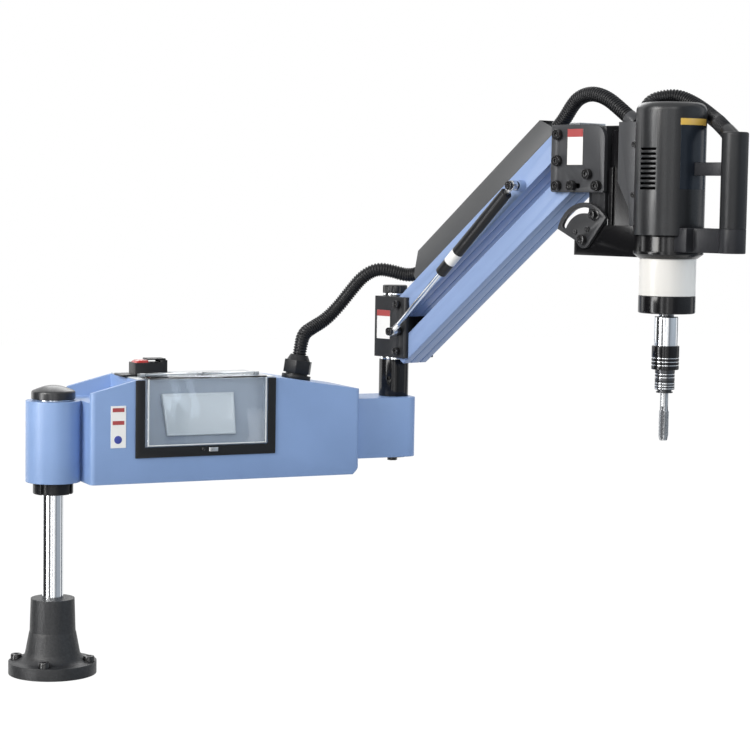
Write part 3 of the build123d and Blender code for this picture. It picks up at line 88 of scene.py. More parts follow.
# Along the upper bar from its foot pivot, and above that line.
SPRING_HEAD = (351.3, -11.5)
SPRING_NEAR = 50.0
CASE_WALL = -72.5
BEZEL_FACE = -75.0
LABEL_THICK, BAND_FRONT, BAND_BACK = 0.4, 0.6, 0.3
TAP_TIP, TAP_THREAD_TOP, TAP_PITCH = -307.0, -262.0, 1.75

HOME = Matrix.Identity(4)
# The upper arm's own upright plane: x along the arm, -y the side with the gas spring.
ARM = Matrix.Translation((ELBOW_AXIS * MM, 0, 0)) @ Matrix.Rotation(radians(ARM_TURN), 4, "Z")
# The motor's axis, with heights counted from the tilt pivot.
CARRIAGE = ARM @ Matrix.Translation((MOTOR_AXIS * MM, 0, TILT_PIVOT[1] * MM))


# ---------- settings
class MachineSizes(bpy.types.PropertyGroup):
    casting_round: bpy.props.FloatProperty(
        name="Casting Round", description="Round on the edges of the cast arm",
        default=0.0032, min=0.0005, max=0.006, unit="LENGTH")
    rib_pitch: bpy.props.FloatProperty(
        name="Rib Pitch", description="Distance from one hose rib to the next",
        default=0.0045, min=0.003, max=0.008, unit="LENGTH")
    hose_radius: bpy.props.FloatProperty(
        name="Hose Radius", description="Outer radius of the corrugated hoses",
        default=0.012, min=0.008, max=0.014, unit="LENGTH")


class MachineColours(bpy.types.PropertyGroup):
    enamel: bpy.props.FloatVectorProperty(
        name="Enamel", description="Colour of the lower arm and the bars",
        subtype="COLOR", size=3, default=(0.228, 0.352, 0.618), min=0, max=1)
    dark_paint: bpy.props.FloatVectorProperty(
        name="Dark Paint", description="Colour of the cast base",
        subtype="COLOR", size=3, default=(0.017, 0.018, 0.020), min=0, max=1)
    motor_paint: bpy.props.FloatVectorProperty(
        name="Motor Paint", description="Colour of the motor cover",
        subtype="COLOR", size=3, default=(0.014, 0.015, 0.017), min=0, max=1)
    gearbox_paint: bpy.props.FloatVectorProperty(
        name="Gearbox Paint", description="Colour of the gearbox",
        subtype="COLOR", size=3, default=(0.80, 0.79, 0.76), min=0, max=1)
    button: bpy.props.FloatVectorProperty(
        name="Stop Button", description="Colour of the stop button",
        subtype="COLOR", size=3, default=(0.52, 0.035, 0.03), min=0, max=1)


# ---------- node groups
GROUPS = {}
FINISHES = {}


def feed(tree, node, inputs):
    """Set a node's inputs: an output socket is linked, and anything else is a constant."""
    for key, value in inputs.items():
        if isinstance(value, bpy.types.NodeSocket):
            tree.links.new(value, node.inputs[key])
        else:
            node.inputs[key].default_value = value


def add_node(tree, kind, inputs, **settings):
    node = tree.nodes.new("ShaderNode" + kind)
    for name, value in settings.items():
        setattr(node, name, value)
    feed(tree, node, inputs)
    return node


def new_group(name, inputs, outputs):
    group = bpy.data.node_groups.new(name, "ShaderNodeTree")
    for label, kind, default in inputs:
        socket = group.interface.new_socket(label, in_out="INPUT", socket_type="NodeSocket" + kind)
        if default is not None:
            socket.default_value = default
    for label, kind in outputs:
        group.interface.new_socket(label, in_out="OUTPUT", socket_type="NodeSocket" + kind)
    return group, group.nodes.new("NodeGroupInput").outputs, group.nodes.new("NodeGroupOutput")


def rounded_bump(tree, distance, strength, height, radius):
    """A bump laid over edges that are rounded by a small radius."""
    edge = add_node(tree, "Bevel", {"Radius": radius}, samples=4)
    bump = add_node(tree, "Bump", {"Distance": distance, "Strength": strength, "Height": height,
                                   "Normal": edge.outputs["Normal"]})
    return bump.outputs["Normal"]


def surface_grain_group():
    """Orange peel, casting skin or moulded texture, on edges rounded by a small radius."""
    group, given, last = new_group(
        "Surface Grain",
        [("Vector", "Vector", None), ("Scale", "Float", 500.0), ("Depth", "Float", 0.2),
         ("Rounding", "Float", 0.0008)],
        [("Normal", "Vector"), ("Tone", "Float")])
    noise = add_node(group, "TexNoise", {"Detail": 3.0, "Roughness": 0.55, "Vector": given["Vector"],
                                         "Scale": given["Scale"]})
    normal = rounded_bump(group, 0.0004, given["Depth"], noise.outputs["Fac"], given["Rounding"])
    feed(group, last, {"Normal": normal, "Tone": noise.outputs["Fac"]})
    return group


def tone_drift_group():
    """Broad, faint changes of tone, and a paler line along edges, partly worn and partly a painted
    highlight.
    """
    group, given, last = new_group(
        "Tone Drift",
        [("Color", "Color", None), ("Vector", "Vector", None), ("Scale", "Float", 9.0),
         ("Amount", "Float", 0.1), ("Rub And Highlight Color", "Color", None), ("Rub And Highlight", "Float", 0.4)],
        [("Color", "Color")])
    broad = add_node(group, "TexNoise", {"Detail": 4.0, "Vector": given["Vector"], "Scale": given["Scale"]})
    spread = add_node(group, "MapRange", {"From Min": 0.3, "From Max": 0.7, "To Min": -1.0, "To Max": 1.0,
                                          "Value": broad.outputs["Fac"]})
    share = add_node(group, "Math", {0: spread.outputs["Result"], 1: given["Amount"], 2: 1.0},
                     operation="MULTIPLY_ADD")
    tinted = add_node(group, "HueSaturation", {"Color": given["Color"], "Value": share.outputs["Value"]})
    # Paler edges: partly worn, partly a painted highlight along edges that catch the light.
    edge = add_node(group, "Bevel", {"Radius": 0.0012}, samples=4)
    shape = add_node(group, "NewGeometry", {})
    bend = add_node(group, "VectorMath", {0: edge.outputs["Normal"], 1: shape.outputs["Normal"]},
                    operation="DOT_PRODUCT")
    near = add_node(group, "MapRange", {"From Min": 0.99, "From Max": 0.80, "Value": bend.outputs["Value"]})
    patchy = add_node(group, "TexNoise", {"Scale": 160.0, "Detail": 3.0, "Vector": given["Vector"]})
    chips = add_node(group, "MapRange", {"From Min": 0.42, "From Max": 0.62, "Value": patchy.outputs["Fac"]})
    edge_rub_and_highlight = add_node(group, "Math", {0: near.outputs["Result"], 1: chips.outputs["Result"]},
                      operation="MULTIPLY")
    amount = add_node(group, "Math", {0: edge_rub_and_highlight.outputs["Value"], 1: given["Rub And Highlight"]}, operation="MULTIPLY")
    mix = add_node(group, "Mix", {"Factor": amount.outputs["Value"], "A": tinted.outputs["Color"],
                                  "B": given["Rub And Highlight Color"]}, data_type="RGBA")
    feed(group, last, {"Color": mix.outputs["Result"]})
    return group


def machined_lines_group():
    """Fine lines from turning, grinding or brushing. Stretch sets which way they run."""
    group, given, last = new_group(
        "Machined Lines",
        [("Vector", "Vector", None), ("Stretch", "Vector", (6.0, 6.0, 900.0)), ("Depth", "Float", 0.1),
         ("Rough Low", "Float", 0.18), ("Rough High", "Float", 0.32)],
        [("Normal", "Vector"), ("Roughness", "Float")])
    stretch = add_node(group, "VectorMath", {0: given["Vector"], 1: given["Stretch"]}, operation="MULTIPLY")
    lines = add_node(group, "TexNoise", {"Scale": 1.0, "Detail": 4.0, "Vector": stretch.outputs["Vector"]})
    rough = add_node(group, "MapRange", {"From Min": 0.3, "From Max": 0.7, "Value": lines.outputs["Fac"],
                                         "To Min": given["Rough Low"], "To Max": given["Rough High"]})
    normal = rounded_bump(group, 0.0002, given["Depth"], lines.outputs["Fac"], 0.0006)
    feed(group, last, {"Normal": normal, "Roughness": rough.outputs["Result"]})
    return group


# ---------- finishes
def blank_material(name):
    """A new finish: its node tree, its Principled shader and its Object coordinates."""
    material = bpy.data.materials.new(name)
    material.use_nodes = True
    tree = material.node_tree
    FINISHES[name] = material
    return tree, tree.nodes["Principled BSDF"], add_node(tree, "TexCoord", {}).outputs["Object"]


def painted(name, colour, rough, scale, depth, drift, rub_and_highlight, rub_and_highlight_colour=None, rounding=0.0008,
            specular=0.5, coat=0.0, mottle=9.0):
    """Paint or moulded plastic: grain, faint drift of tone, and paler edges that are partly worn and partly
    painted highlight.
    """
    tree, shader, place = blank_material(name)
    grain = add_node(tree, "Group", {"Scale": scale, "Depth": depth, "Rounding": rounding, "Vector": place},
                     node_tree=GROUPS["grain"])
    pale = rub_and_highlight_colour or tuple(min(1.0, c * 1.5 + 0.03) for c in colour)
    tone = add_node(tree, "Group", {"Color": (*colour, 1), "Rub And Highlight Color": (*pale, 1), "Rub And Highlight": rub_and_highlight,
                                    "Scale": mottle, "Amount": drift, "Vector": place},
                    node_tree=GROUPS["tone"])
    gloss = add_node(tree, "MapRange", {"From Min": 0.3, "From Max": 0.7, "To Min": rough - 0.05,
                                        "To Max": rough + 0.05, "Value": grain.outputs["Tone"]})
    feed(tree, shader, {"Base Color": tone.outputs["Color"], "Normal": grain.outputs["Normal"],
                        "Roughness": gloss.outputs["Result"], "Specular IOR Level": specular,
                        "Coat Weight": coat, "Coat Roughness": 0.12})


def machined(name, colour, stretch, low, high, depth=0.1, metallic=1.0):
    """Bare metal with the lines of the tool that finished it."""
    tree, shader, place = blank_material(name)
    lines = add_node(tree, "Group", {"Stretch": stretch, "Depth": depth, "Rough Low": low,
                                     "Rough High": high, "Vector": place}, node_tree=GROUPS["lines"])
    pale = tuple(min(1.0, c * 1.25) for c in colour)
    tone = add_node(tree, "Group", {"Color": (*colour, 1), "Rub And Highlight Color": (*pale, 1), "Rub And Highlight": 0.3,
                                    "Amount": 0.05, "Vector": place}, node_tree=GROUPS["tone"])
    feed(tree, shader, {"Base Color": tone.outputs["Color"], "Normal": lines.outputs["Normal"],
                        "Roughness": lines.outputs["Roughness"], "Metallic": metallic})


def clear_finish():
    """Clear sheet plastic with a faint haze of fine scratches."""
    tree, shader, place = blank_material("Clear Plastic")
    noise = add_node(tree, "TexNoise", {"Scale": 60.0, "Detail": 6.0, "Vector": place})
    haze = add_node(tree, "MapRange", {"To Min": 0.02, "To Max": 0.10, "Value": noise.outputs["Fac"]})
    feed(tree, shader, {"Base Color": (0.93, 0.96, 0.98, 1), "Transmission Weight": 1.0, "IOR": 1.42,
                        "Roughness": haze.outputs["Result"]})


def make_finishes():
    GROUPS["grain"] = surface_grain_group()
    GROUPS["tone"] = tone_drift_group()
    GROUPS["lines"] = machined_lines_group()
    colours = bpy.context.scene.machine_colours
    enamel = tuple(colours.enamel)
    # Each has its colour, roughness, grain scale and depth, drift of tone and edge wear, whose paler edges
    # are also a painted highlight.
    # The arm's paler edges are a painted highlight along the casting's edges, besides worn paint.
    painted("Pebbled Enamel", enamel, 0.42, 520, 0.42, 0.05, 0.45, rounding=0.0015)
    # The bars' enamel is the arm's enamel made paler and redder: a painted sheen that matches the lit near
    # faces of the bars.
    painted("Smooth Enamel", tuple(c * k for c, k in zip(enamel, (1.18, 1.06, 1.0))), 0.40, 900,
            0.10, 0.03, 0.4, specular=0.25)
    painted("Cast Dark Paint", tuple(colours.dark_paint), 0.48, 380, 1.3, 0.30, 0.5, specular=0.4,
            mottle=240)
    painted("Block Dark Paint", (0.022, 0.023, 0.026), 0.42, 760, 0.35, 0.08, 0.5, specular=0.25)
    painted("Plate Dark Paint", (0.050, 0.052, 0.057), 0.38, 900, 0.16, 0.06, 0.7, specular=0.3)
    painted("Handle Paint", (0.026, 0.027, 0.031), 0.36, 900, 0.10, 0.05, 0.5, specular=0.15)
    # Painted shade: a near black without gloss for the motor's core, so that its vent slots look dark.
    painted("Painted Vent Shade", (0.003, 0.003, 0.0035), 0.70, 900, 0.20, 0.05, 0.0, specular=0.05)
    # The sector's paler edges are a painted highlight along its shiny outline, besides worn paint.
    painted("Sector Paint", (0.030, 0.031, 0.034), 0.36, 900, 0.12, 0.05, 0.9, specular=0.35)
    painted("Motor Paint", tuple(colours.motor_paint), 0.31, 1100, 0.18, 0.05, 0.3, specular=0.45)
    painted("Grip Paint", (0.016, 0.017, 0.019), 0.38, 1000, 0.2, 0.05, 0.25, specular=0.3)
    painted("Black Enamel", (0.006, 0.006, 0.007), 0.17, 900, 0.05, 0.04, 0.3, specular=0.35)
    painted("Satin Black", (0.009, 0.0095, 0.011), 0.34, 900, 0.12, 0.05, 0.5, specular=0.25)
    painted("Cover Paint", (0.088, 0.091, 0.095), 0.44, 1000, 0.12, 0.05, 0.35, specular=0.3)
    painted("Lid Paint", (0.58, 0.61, 0.63), 0.36, 1000, 0.08, 0.03, 0.1)
    painted("Console Paint", (0.31, 0.36, 0.44), 0.45, 900, 0.03, 0.03, 0.1, specular=0.3)
    painted("Gearbox Enamel", tuple(colours.gearbox_paint), 0.34, 800, 0.08, 0.02, 0.05, specular=0.35)
    painted("Black Plastic", (0.009, 0.0095, 0.011), 0.40, 1400, 0.18, 0.06, 0.2, specular=0.3)
    painted("Cap Plastic", (0.020, 0.021, 0.023), 0.30, 1200, 0.10, 0.05, 0.3, specular=0.5)
    # Painted highlight for the edges of the clear cover.
    painted("Cover Edge Highlight", (0.78, 0.82, 0.83), 0.22, 900, 0.03, 0.02, 0.0)
    painted("Hose Plastic", (0.007, 0.0074, 0.009), 0.36, 1200, 0.12, 0.08, 0.15, rounding=0.0003,
            specular=0.3)
    painted("Screen Glass", (0.56, 0.61, 0.66), 0.16, 300, 0.02, 0.02, 0.0, coat=0.5)
    painted("Red Plastic", tuple(colours.button), 0.28, 1000, 0.05, 0.04, 0.1, coat=0.3)
    painted("Label White", (0.90, 0.90, 0.89), 0.34, 900, 0.03, 0.02, 0.0)
    painted("Label Red", (0.42, 0.07, 0.07), 0.34, 900, 0.03, 0.02, 0.0)
    painted("Label Blue", (0.05, 0.07, 0.36), 0.34, 900, 0.03, 0.02, 0.0)
    painted("Label Yellow", (0.78, 0.50, 0.10), 0.34, 900, 0.03, 0.02, 0.0)
    painted("Label Slate", (0.016, 0.022, 0.032), 0.20, 900, 0.03, 0.03, 0.0, specular=0.35)
    machined("Ground Steel", (0.80, 0.82, 0.84), (4, 4, 1400), 0.10, 0.18, 0.05)
    machined("Turned Steel", (0.62, 0.63, 0.64), (5, 5, 1800), 0.2, 0.34, 0.12)
    machined("Satin Steel", (0.50, 0.52, 0.54), (40, 40, 40), 0.3, 0.42, 0.06)
    # The pale edge colour paints highlights on the rims and sockets of the screw heads, besides wear.
    painted("Blackened Steel", (0.010, 0.010, 0.011), 0.24, 900, 0.10, 0.05, 1.0, (0.34, 0.34, 0.36),
            specular=0.55)
    # Dark steel of the holder and collar, also used as painted shade in the tap's flutes and thread roots.
    machined("Dark Steel And Flute Shade", (0.075, 0.077, 0.082), (5, 5, 1200), 0.24, 0.36, 0.1, metallic=0.9)
    machined("Tool Steel", (0.44, 0.45, 0.46), (8, 8, 1200), 0.24, 0.38, 0.12)
    machined("Bronze", (0.55, 0.38, 0.16), (5, 5, 1500), 0.25, 0.38, 0.1)
    clear_finish()


# ---------- modelling helpers
def add_object(name, data):
    obj = bpy.data.objects.new(name, data)
    bpy.context.scene.collection.objects.link(obj)
    return obj


def nothing_selected():
    if bpy.context.mode != "OBJECT":
        bpy.ops.object.mode_set(mode="OBJECT")
    bpy.ops.object.select_all(action="DESELECT")


def lone(obj):
    """Make obj the only selected object."""
    nothing_selected()
    obj.hide_set(False)
    obj.select_set(True)
    bpy.context.view_layer.objects.active = obj


def settle(obj, place):
    """Put a finished mesh in its place and leave its object at the origin."""
    obj.data.transform(place @ obj.matrix_world)
    obj.matrix_world = Matrix.Identity(4)
    return obj


def smooth(obj, angle=32):
    lone(obj)
    bpy.ops.object.shade_smooth_by_angle(angle=radians(angle))


def outward(obj):
    lone(obj)
    bpy.ops.object.mode_set(mode="EDIT")
    bpy.ops.mesh.select_all(action="SELECT")
    bpy.ops.mesh.remove_doubles(threshold=0.000005)
    bpy.ops.mesh.normals_make_consistent(inside=False)
    bpy.ops.object.mode_set(mode="OBJECT")


def round_edges(obj, width, segments=2, angle=35):
    lone(obj)
    bevel = obj.modifiers.new("Round", "BEVEL")
    bevel.width = width
    bevel.segments = segments
    bevel.limit_method = "ANGLE"
    bevel.angle_limit = radians(angle)
    bevel.use_clamp_overlap = True
    bpy.ops.object.modifier_apply(modifier=bevel.name)


def finish_piece(obj, finish, body, node=None):
    obj.data.materials.clear()
    obj.data.materials.append(FINISHES[finish])
    if body:
        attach(obj, body)
    if node:
        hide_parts(node)
    return obj


def fit_turned(obj, place, finish, body, node=None, angle=32):
    """Smooth a turned piece, put it in its place and finish it."""
    smooth(obj, angle)
    settle(obj, place)
    finish_piece(obj, finish, body, node)


def paint_node(node, finish):
    """Give a CAD node its finish and leave its shape alone."""
    obj = NODES[node]
    obj.data.materials.clear()
    obj.data.materials.append(FINISHES[finish])


def body_of(node):
    return NODES[node]["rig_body"]


def rounded(node, finish, width, segments=2, angle=35):
    """A piece with the node's own shape and rounded edges, which stands for the node."""
    obj = add_object(node + "_piece", NODES[node].data.copy())
    lone(obj)
    bpy.ops.object.mode_set(mode="EDIT")
    bpy.ops.mesh.select_all(action="SELECT")
    bpy.ops.mesh.remove_doubles(threshold=0.00002)
    bpy.ops.mesh.dissolve_limited(angle_limit=radians(0.8))
    bpy.ops.object.mode_set(mode="OBJECT")
    round_edges(obj, width, segments, angle)
    smooth(obj, 38)
    return finish_piece(obj, finish, body_of(node), node)


def turned(name, profile, segments=72, hollow=False):
    """Turn a solid piece or a ring up step by step: profile is (radius, height) in millimetres."""
    nothing_selected()
    if hollow:
        profile = [*profile, profile[0]]
    radius, height = profile[0]
    bpy.ops.mesh.primitive_circle_add(
        vertices=segments, radius=radius * MM, fill_type="NOTHING" if hollow else "NGON",
        location=(0, 0, height * MM))
    obj = bpy.context.active_object
    obj.name = name
    bpy.ops.object.transform_apply(location=True, rotation=False, scale=False)
    bpy.ops.object.mode_set(mode="EDIT")
    bpy.ops.mesh.select_all(action="SELECT")
    for next_radius, next_height in profile[1:]:
        step = (next_height - height) * MM
        bpy.ops.mesh.extrude_region_move(TRANSFORM_OT_translate={"value": (0, 0, step)})
        share = next_radius / radius
        if abs(share - 1) > 1e-6:
            bpy.ops.transform.resize(value=(share, share, 1), center_override=(0, 0, next_height * MM))
        radius, height = next_radius, next_height
    bpy.ops.object.mode_set(mode="OBJECT")
    outward(obj)
    return obj


def bar_block(name, low, high, width, segments=2):
    """A block between two corners in millimetres, with rounded edges."""
    nothing_selected()
    centre = [(a + b) / 2 * MM for a, b in zip(low, high)]
    bpy.ops.mesh.primitive_cube_add(size=1, location=centre)
    obj = bpy.context.active_object
    obj.name = name
    obj.scale = [(b - a) * MM for a, b in zip(low, high)]
    bpy.ops.object.transform_apply(location=True, rotation=True, scale=True)
    round_edges(obj, width * MM, segments)
    smooth(obj)
    return obj


def cap_screw(name, head_radius, head_height, socket_radius):
    """A socket cap screw's head, standing on z = 0, with its socket sunk in."""
    top_radius = head_radius * 0.9
    obj = turned(name, [(head_radius, 0), (head_radius, head_height * 0.86), (top_radius, head_height)], 40)
    lone(obj)
    bpy.ops.object.mode_set(mode="EDIT")
    bpy.ops.mesh.select_all(action="DESELECT")
    bpy.ops.object.mode_set(mode="OBJECT")
    top = max(obj.data.polygons, key=lambda p: p.center.z)
    top.select = True
    bpy.ops.object.mode_set(mode="EDIT")
    bpy.ops.mesh.inset(thickness=(top_radius - socket_radius) * MM)
    bpy.ops.mesh.extrude_region_move(TRANSFORM_OT_translate={"value": (0, 0, -head_height * 0.55 * MM)})
    bpy.ops.object.mode_set(mode="OBJECT")
    smooth(obj, 40)
    return obj


def place_screws(screw, places, body):
    """Put a numbered copy of a screw at each place, and take the first one away."""
    for n, place in enumerate(places):
        twin = add_object(f"{screw.name}_{n + 1}", screw.data.copy())
        settle(twin, place)
        finish_piece(twin, "Blackened Steel", body)
    bpy.data.objects.remove(screw)


def arc_plate(name, radius, thick, low, high, start, end):
    """A thin plate round a vertical cylinder, swept about z between two angles in degrees."""
    nothing_selected()
    bpy.ops.mesh.primitive_plane_add(size=1, rotation=(radians(90), 0, 0))
    obj = bpy.context.active_object
    obj.name = name
    obj.scale = (thick * MM, (high - low) * MM, 1)
    obj.location = ((radius + thick / 2) * MM, 0, (low + high) / 2 * MM)
    bpy.ops.object.transform_apply(location=True, rotation=True, scale=True)
    bpy.ops.object.mode_set(mode="EDIT")
    bpy.ops.mesh.select_all(action="SELECT")
    bpy.ops.mesh.spin(steps=28, angle=radians(end - start), center=(0, 0, 0), axis=(0, 0, 1))
    bpy.ops.object.mode_set(mode="OBJECT")
    angles = [atan2(v.co.y, v.co.x) for v in obj.data.vertices]
    obj.data.transform(Matrix.Rotation(radians(start + end) / 2 - sum(angles) / len(angles), 4, "Z"))
    outward(obj)
    smooth(obj, 40)
    return obj


def cut_with(obj, cutter):
    """Take the cutter's shape out of a piece."""
    lone(obj)
    cut = obj.modifiers.new("Cut", "BOOLEAN")
    cut.operation = "DIFFERENCE"
    cut.solver = "EXACT"
    cut.object = cutter
    bpy.ops.object.modifier_apply(modifier=cut.name)
    bpy.data.objects.remove(cutter)


def hexagon_socket(obj, place, across, depth):
    """Sink a hexagon socket into a screw's head; place has z pointing out of the head's face."""
    cutter = turned("hexagon_cutter", [(across / sqrt(3), -depth), (across / sqrt(3), 2.0)], 6)
    settle(cutter, place)
    cut_with(obj, cutter)
    smooth(obj, 38)


def near_face(node):
    """How far a node reaches to the near side of the arm's plane, in millimetres."""
    inward = ARM.inverted()
    return max(-(inward @ v.co).y for v in NODES[node].data.vertices) / MM


def bar_spot(along_bar, above_bar):
    """Where a point of the upper bar lies in the arm's plane."""
    turn = radians(LINK_ANGLE)
    return (LINK_PIVOT[0] + along_bar * cos(turn) - above_bar * sin(turn),
            LINK_PIVOT[1] + along_bar * sin(turn) + above_bar * cos(turn))


def spring_axis():
    """The gas spring's axis, z from the foot stud towards the head stud, and its length."""
    head_along, head_height = bar_spot(*SPRING_HEAD)
    along, rise = head_along - SPRING_FOOT[0], head_height - SPRING_FOOT[1]
    foot = Matrix.Translation((SPRING_FOOT[0] * MM, -SPRING_NEAR * MM, SPRING_FOOT[1] * MM))
    return ARM @ foot @ Matrix.Rotation(atan2(along, rise), 4, "Y"), sqrt(along ** 2 + rise ** 2)


def plate_on(name, low, high, place, finish, body):
    """A thin plain plate between two corners, laid on a wall."""
    plate = bar_block(name, low, high, 0.12, 1)
    settle(plate, place)
    finish_piece(plate, finish, body)


def headed_label(label, band, left, right, low, band_low, high, node):
    """A white label with a red band along its top, on the near face of a node of the arm."""
    face, body = -near_face(node), body_of(node)
    plate_on(label, (left, face - LABEL_THICK, low), (right, face, high), ARM, "Label White", body)
    plate_on(band, (left, face - BAND_FRONT, band_low), (right, face - BAND_BACK, high), ARM,
             "Label Red", body)


def near_side(place, x, y, z):
    """The place of a screw whose head points to the near side, at x, y, z in millimetres."""
    return place @ Matrix.Translation((x * MM, y * MM, z * MM)) @ Matrix.Rotation(radians(90), 4, "X")


def arm_point(along, near, height):
    spot = ARM @ Vector((along * MM, -near * MM, height * MM))
    return (spot.x, spot.y, spot.z)


# ---------- pieces
def dress_base():
    rounded("base_casting", "Cast Dark Paint", 0.0016, 3, 28)
    column = turned("column_piece", [(17.5, 10), (17.5, 461), (16.5, 462)], 96)
    fit_turned(column, HOME, "Ground Steel", "base", "column")
    rounded("collar_nut", "Satin Black", 0.0008)
    paint_node("cap_ring", "Ground Steel")
    cap = turned("column_cap_piece", [
        (35, 455.3), (36, 456.3), (36, 466), (35.6, 467.6), (34.4, 469), (32.5, 470),
        (26, 472.6), (20, 474.8), (14, 476.6), (8, 477.7), (4, 477.8)], 96)
    fit_turned(cap, HOME, "Cap Plastic", "base", "column_cap", 40)
    screw = cap_screw("flange_screw", 9.3, 10.5, 4.6)
    bolt_circle, flange_top, first_angle = 61.0, 19.0, 61.0
    spots = [(bolt_circle * MM * cos(angle), bolt_circle * MM * sin(angle), flange_top * MM)
             for angle in (radians(first_angle + 90 * n) for n in range(4))]
    place_screws(screw, [Matrix.Translation(spot) for spot in spots], "base")


def dress_lower_arm():
    casting_round = bpy.context.scene.machine_sizes.casting_round
    rounded("arm_casting", "Pebbled Enamel", casting_round, 3, 30)
    paint_node("hub_bushes", "Bronze")
    paint_node("elbow_bushes", "Bronze")
    paint_node("drive_unit", "Satin Steel")
    rounded("top_plate", "Lid Paint", 0.0006)
    wall, body = CASE_WALL, "lower_arm"
    plate_on("arm_plate", (75, wall - 0.5, 379), (101, wall, 448), HOME, "Label White", body)
    for name, low in (("arm_band_high", 438), ("arm_band_low", 417)):
        plate_on(name, (78, wall - 0.7, low), (98, wall - 0.4, low + 6.5), HOME, "Label Red", body)
    spot = turned("arm_spot", [(6.6, 0), (6.6, 0.6), (6.3, 0.7)], 40)
    fit_turned(spot, near_side(HOME, 87.5, wall - 0.1, 392.5), "Label Blue", body)


def dress_cover_edges():
    """Painted highlights: white strips along the clear cover's front sheet, where its edges catch the light.
    """
    spots = [v.co / MM for v in NODES["clear_cover"].data.vertices]
    left, right = min(v.x for v in spots), max(v.x for v in spots)
    front, low = min(v.y for v in spots), min(v.z for v in spots)
    high = max(v.z for v in spots if v.y < front + 0.5)
    for name, x0, x1, z0, z1 in (("cover_edge_left", left + 0.4, left + 3.0, low + 0.4, high - 0.5),
                                 ("cover_edge_right", right - 2.4, right - 0.4, low + 0.4, high - 0.5),
                                 ("cover_edge_low", left + 3.0, right - 2.4, low + 0.4, low + 2.2)):
        plate_on(name, (x0, front - 0.15, z0), (x1, front + 0.2, z1), HOME, "Cover Edge Highlight",
                 body_of("clear_cover"))


def dress_panel():
    rounded("panel_bezel", "Black Plastic", 0.0007)
    rounded("control_console", "Console Paint", 0.0006)
    rounded("touch_screen", "Screen Glass", 0.0008)
    paint_node("cover_hinge", "Satin Steel")
    rounded("clear_cover", "Clear Plastic", 0.0009)
    dress_cover_edges()
    catch = bar_block("panel_catch", (244, BEZEL_FACE - 3.6, 368.5), (260, BEZEL_FACE, 375.5), 0.9)
    finish_piece(catch, "Turned Steel", "lower_arm")
    knob = turned("catch_knob", [(2.9, 0), (2.9, 2.6), (2.3, 3.2)], 32)
    fit_turned(knob, near_side(HOME, 234.5, BEZEL_FACE, 373.0), "Blackened Steel", "lower_arm")
    rounded("switch_housing", "Black Plastic", 0.0009)
    rounded("stop_button", "Red Plastic", 0.0012)
    rounded("switch_flap", "Black Plastic", 0.0007)
    rounded("cable_gland", "Black Plastic", 0.0009)


def dress_elbow():
    rounded("elbow_post", "Black Enamel", 0.0007)
    rounded("elbow_block", "Block Dark Paint", 0.0012)
    knob = rounded("elbow_knob", "Cap Plastic", 0.0006)
    foot = min(v.co.z for v in NODES["elbow_knob"].data.vertices)
    groove_circle, grooves = 22.6 * MM, 12
    for n in range(grooves):
        groove = turned("knob_groove", [(2.2, 2), (2.2, 10.5)], 20)
        angle = radians(360 / grooves * n + 8)
        spot = (groove_circle * cos(angle), groove_circle * sin(angle), foot)
        settle(groove, ARM @ Matrix.Translation(spot))
        cut_with(knob, groove)
    smooth(knob, 38)
    rounded("elbow_rings", "Ground Steel", 0.0005)
    rounded("elbow_pins", "Blackened Steel", 0.0005)
    rounded("post_retainer", "Blackened Steel", 0.0005)
    stud = rounded("spring_stud", "Blackened Steel", 0.0005)
    hexagon_socket(stud, near_side(ARM, SPRING_FOOT[0], -near_face("spring_stud"), SPRING_FOOT[1]), 6, 3)
    headed_label("block_plate", "block_band", -7, 26.5, 548, 587.5, 598, "elbow_block")


def dress_links():
    rounded("upper_bar", "Smooth Enamel", 0.0012)
    rounded("lower_bar", "Smooth Enamel", 0.0012)
    rounded("cable_cover", "Cover Paint", 0.0010)


def dress_gas_spring():
    rounded("gas_rod", "Ground Steel", 0.0003)
    rounded("gas_cylinder", "Satin Black", 0.0006)
    rounded("rod_eye", "Turned Steel", 0.0005)
    rounded("cylinder_eye", "Turned Steel", 0.0005)
    stud = rounded("upper_stud", "Blackened Steel", 0.0005)
    axis, length = spring_axis()
    hexagon_socket(stud, near_side(axis, 0, SPRING_NEAR - near_face("upper_stud"), length), 6, 3)
    inner, outer, low, high = 9.9, 10.25, 186, 211
    section = [(inner, low), (outer, low), (outer, high), (inner, high)]
    band = turned("cylinder_band", section, 64, hollow=True)
    fit_turned(band, axis, "Label White", body_of("gas_cylinder"), angle=40)


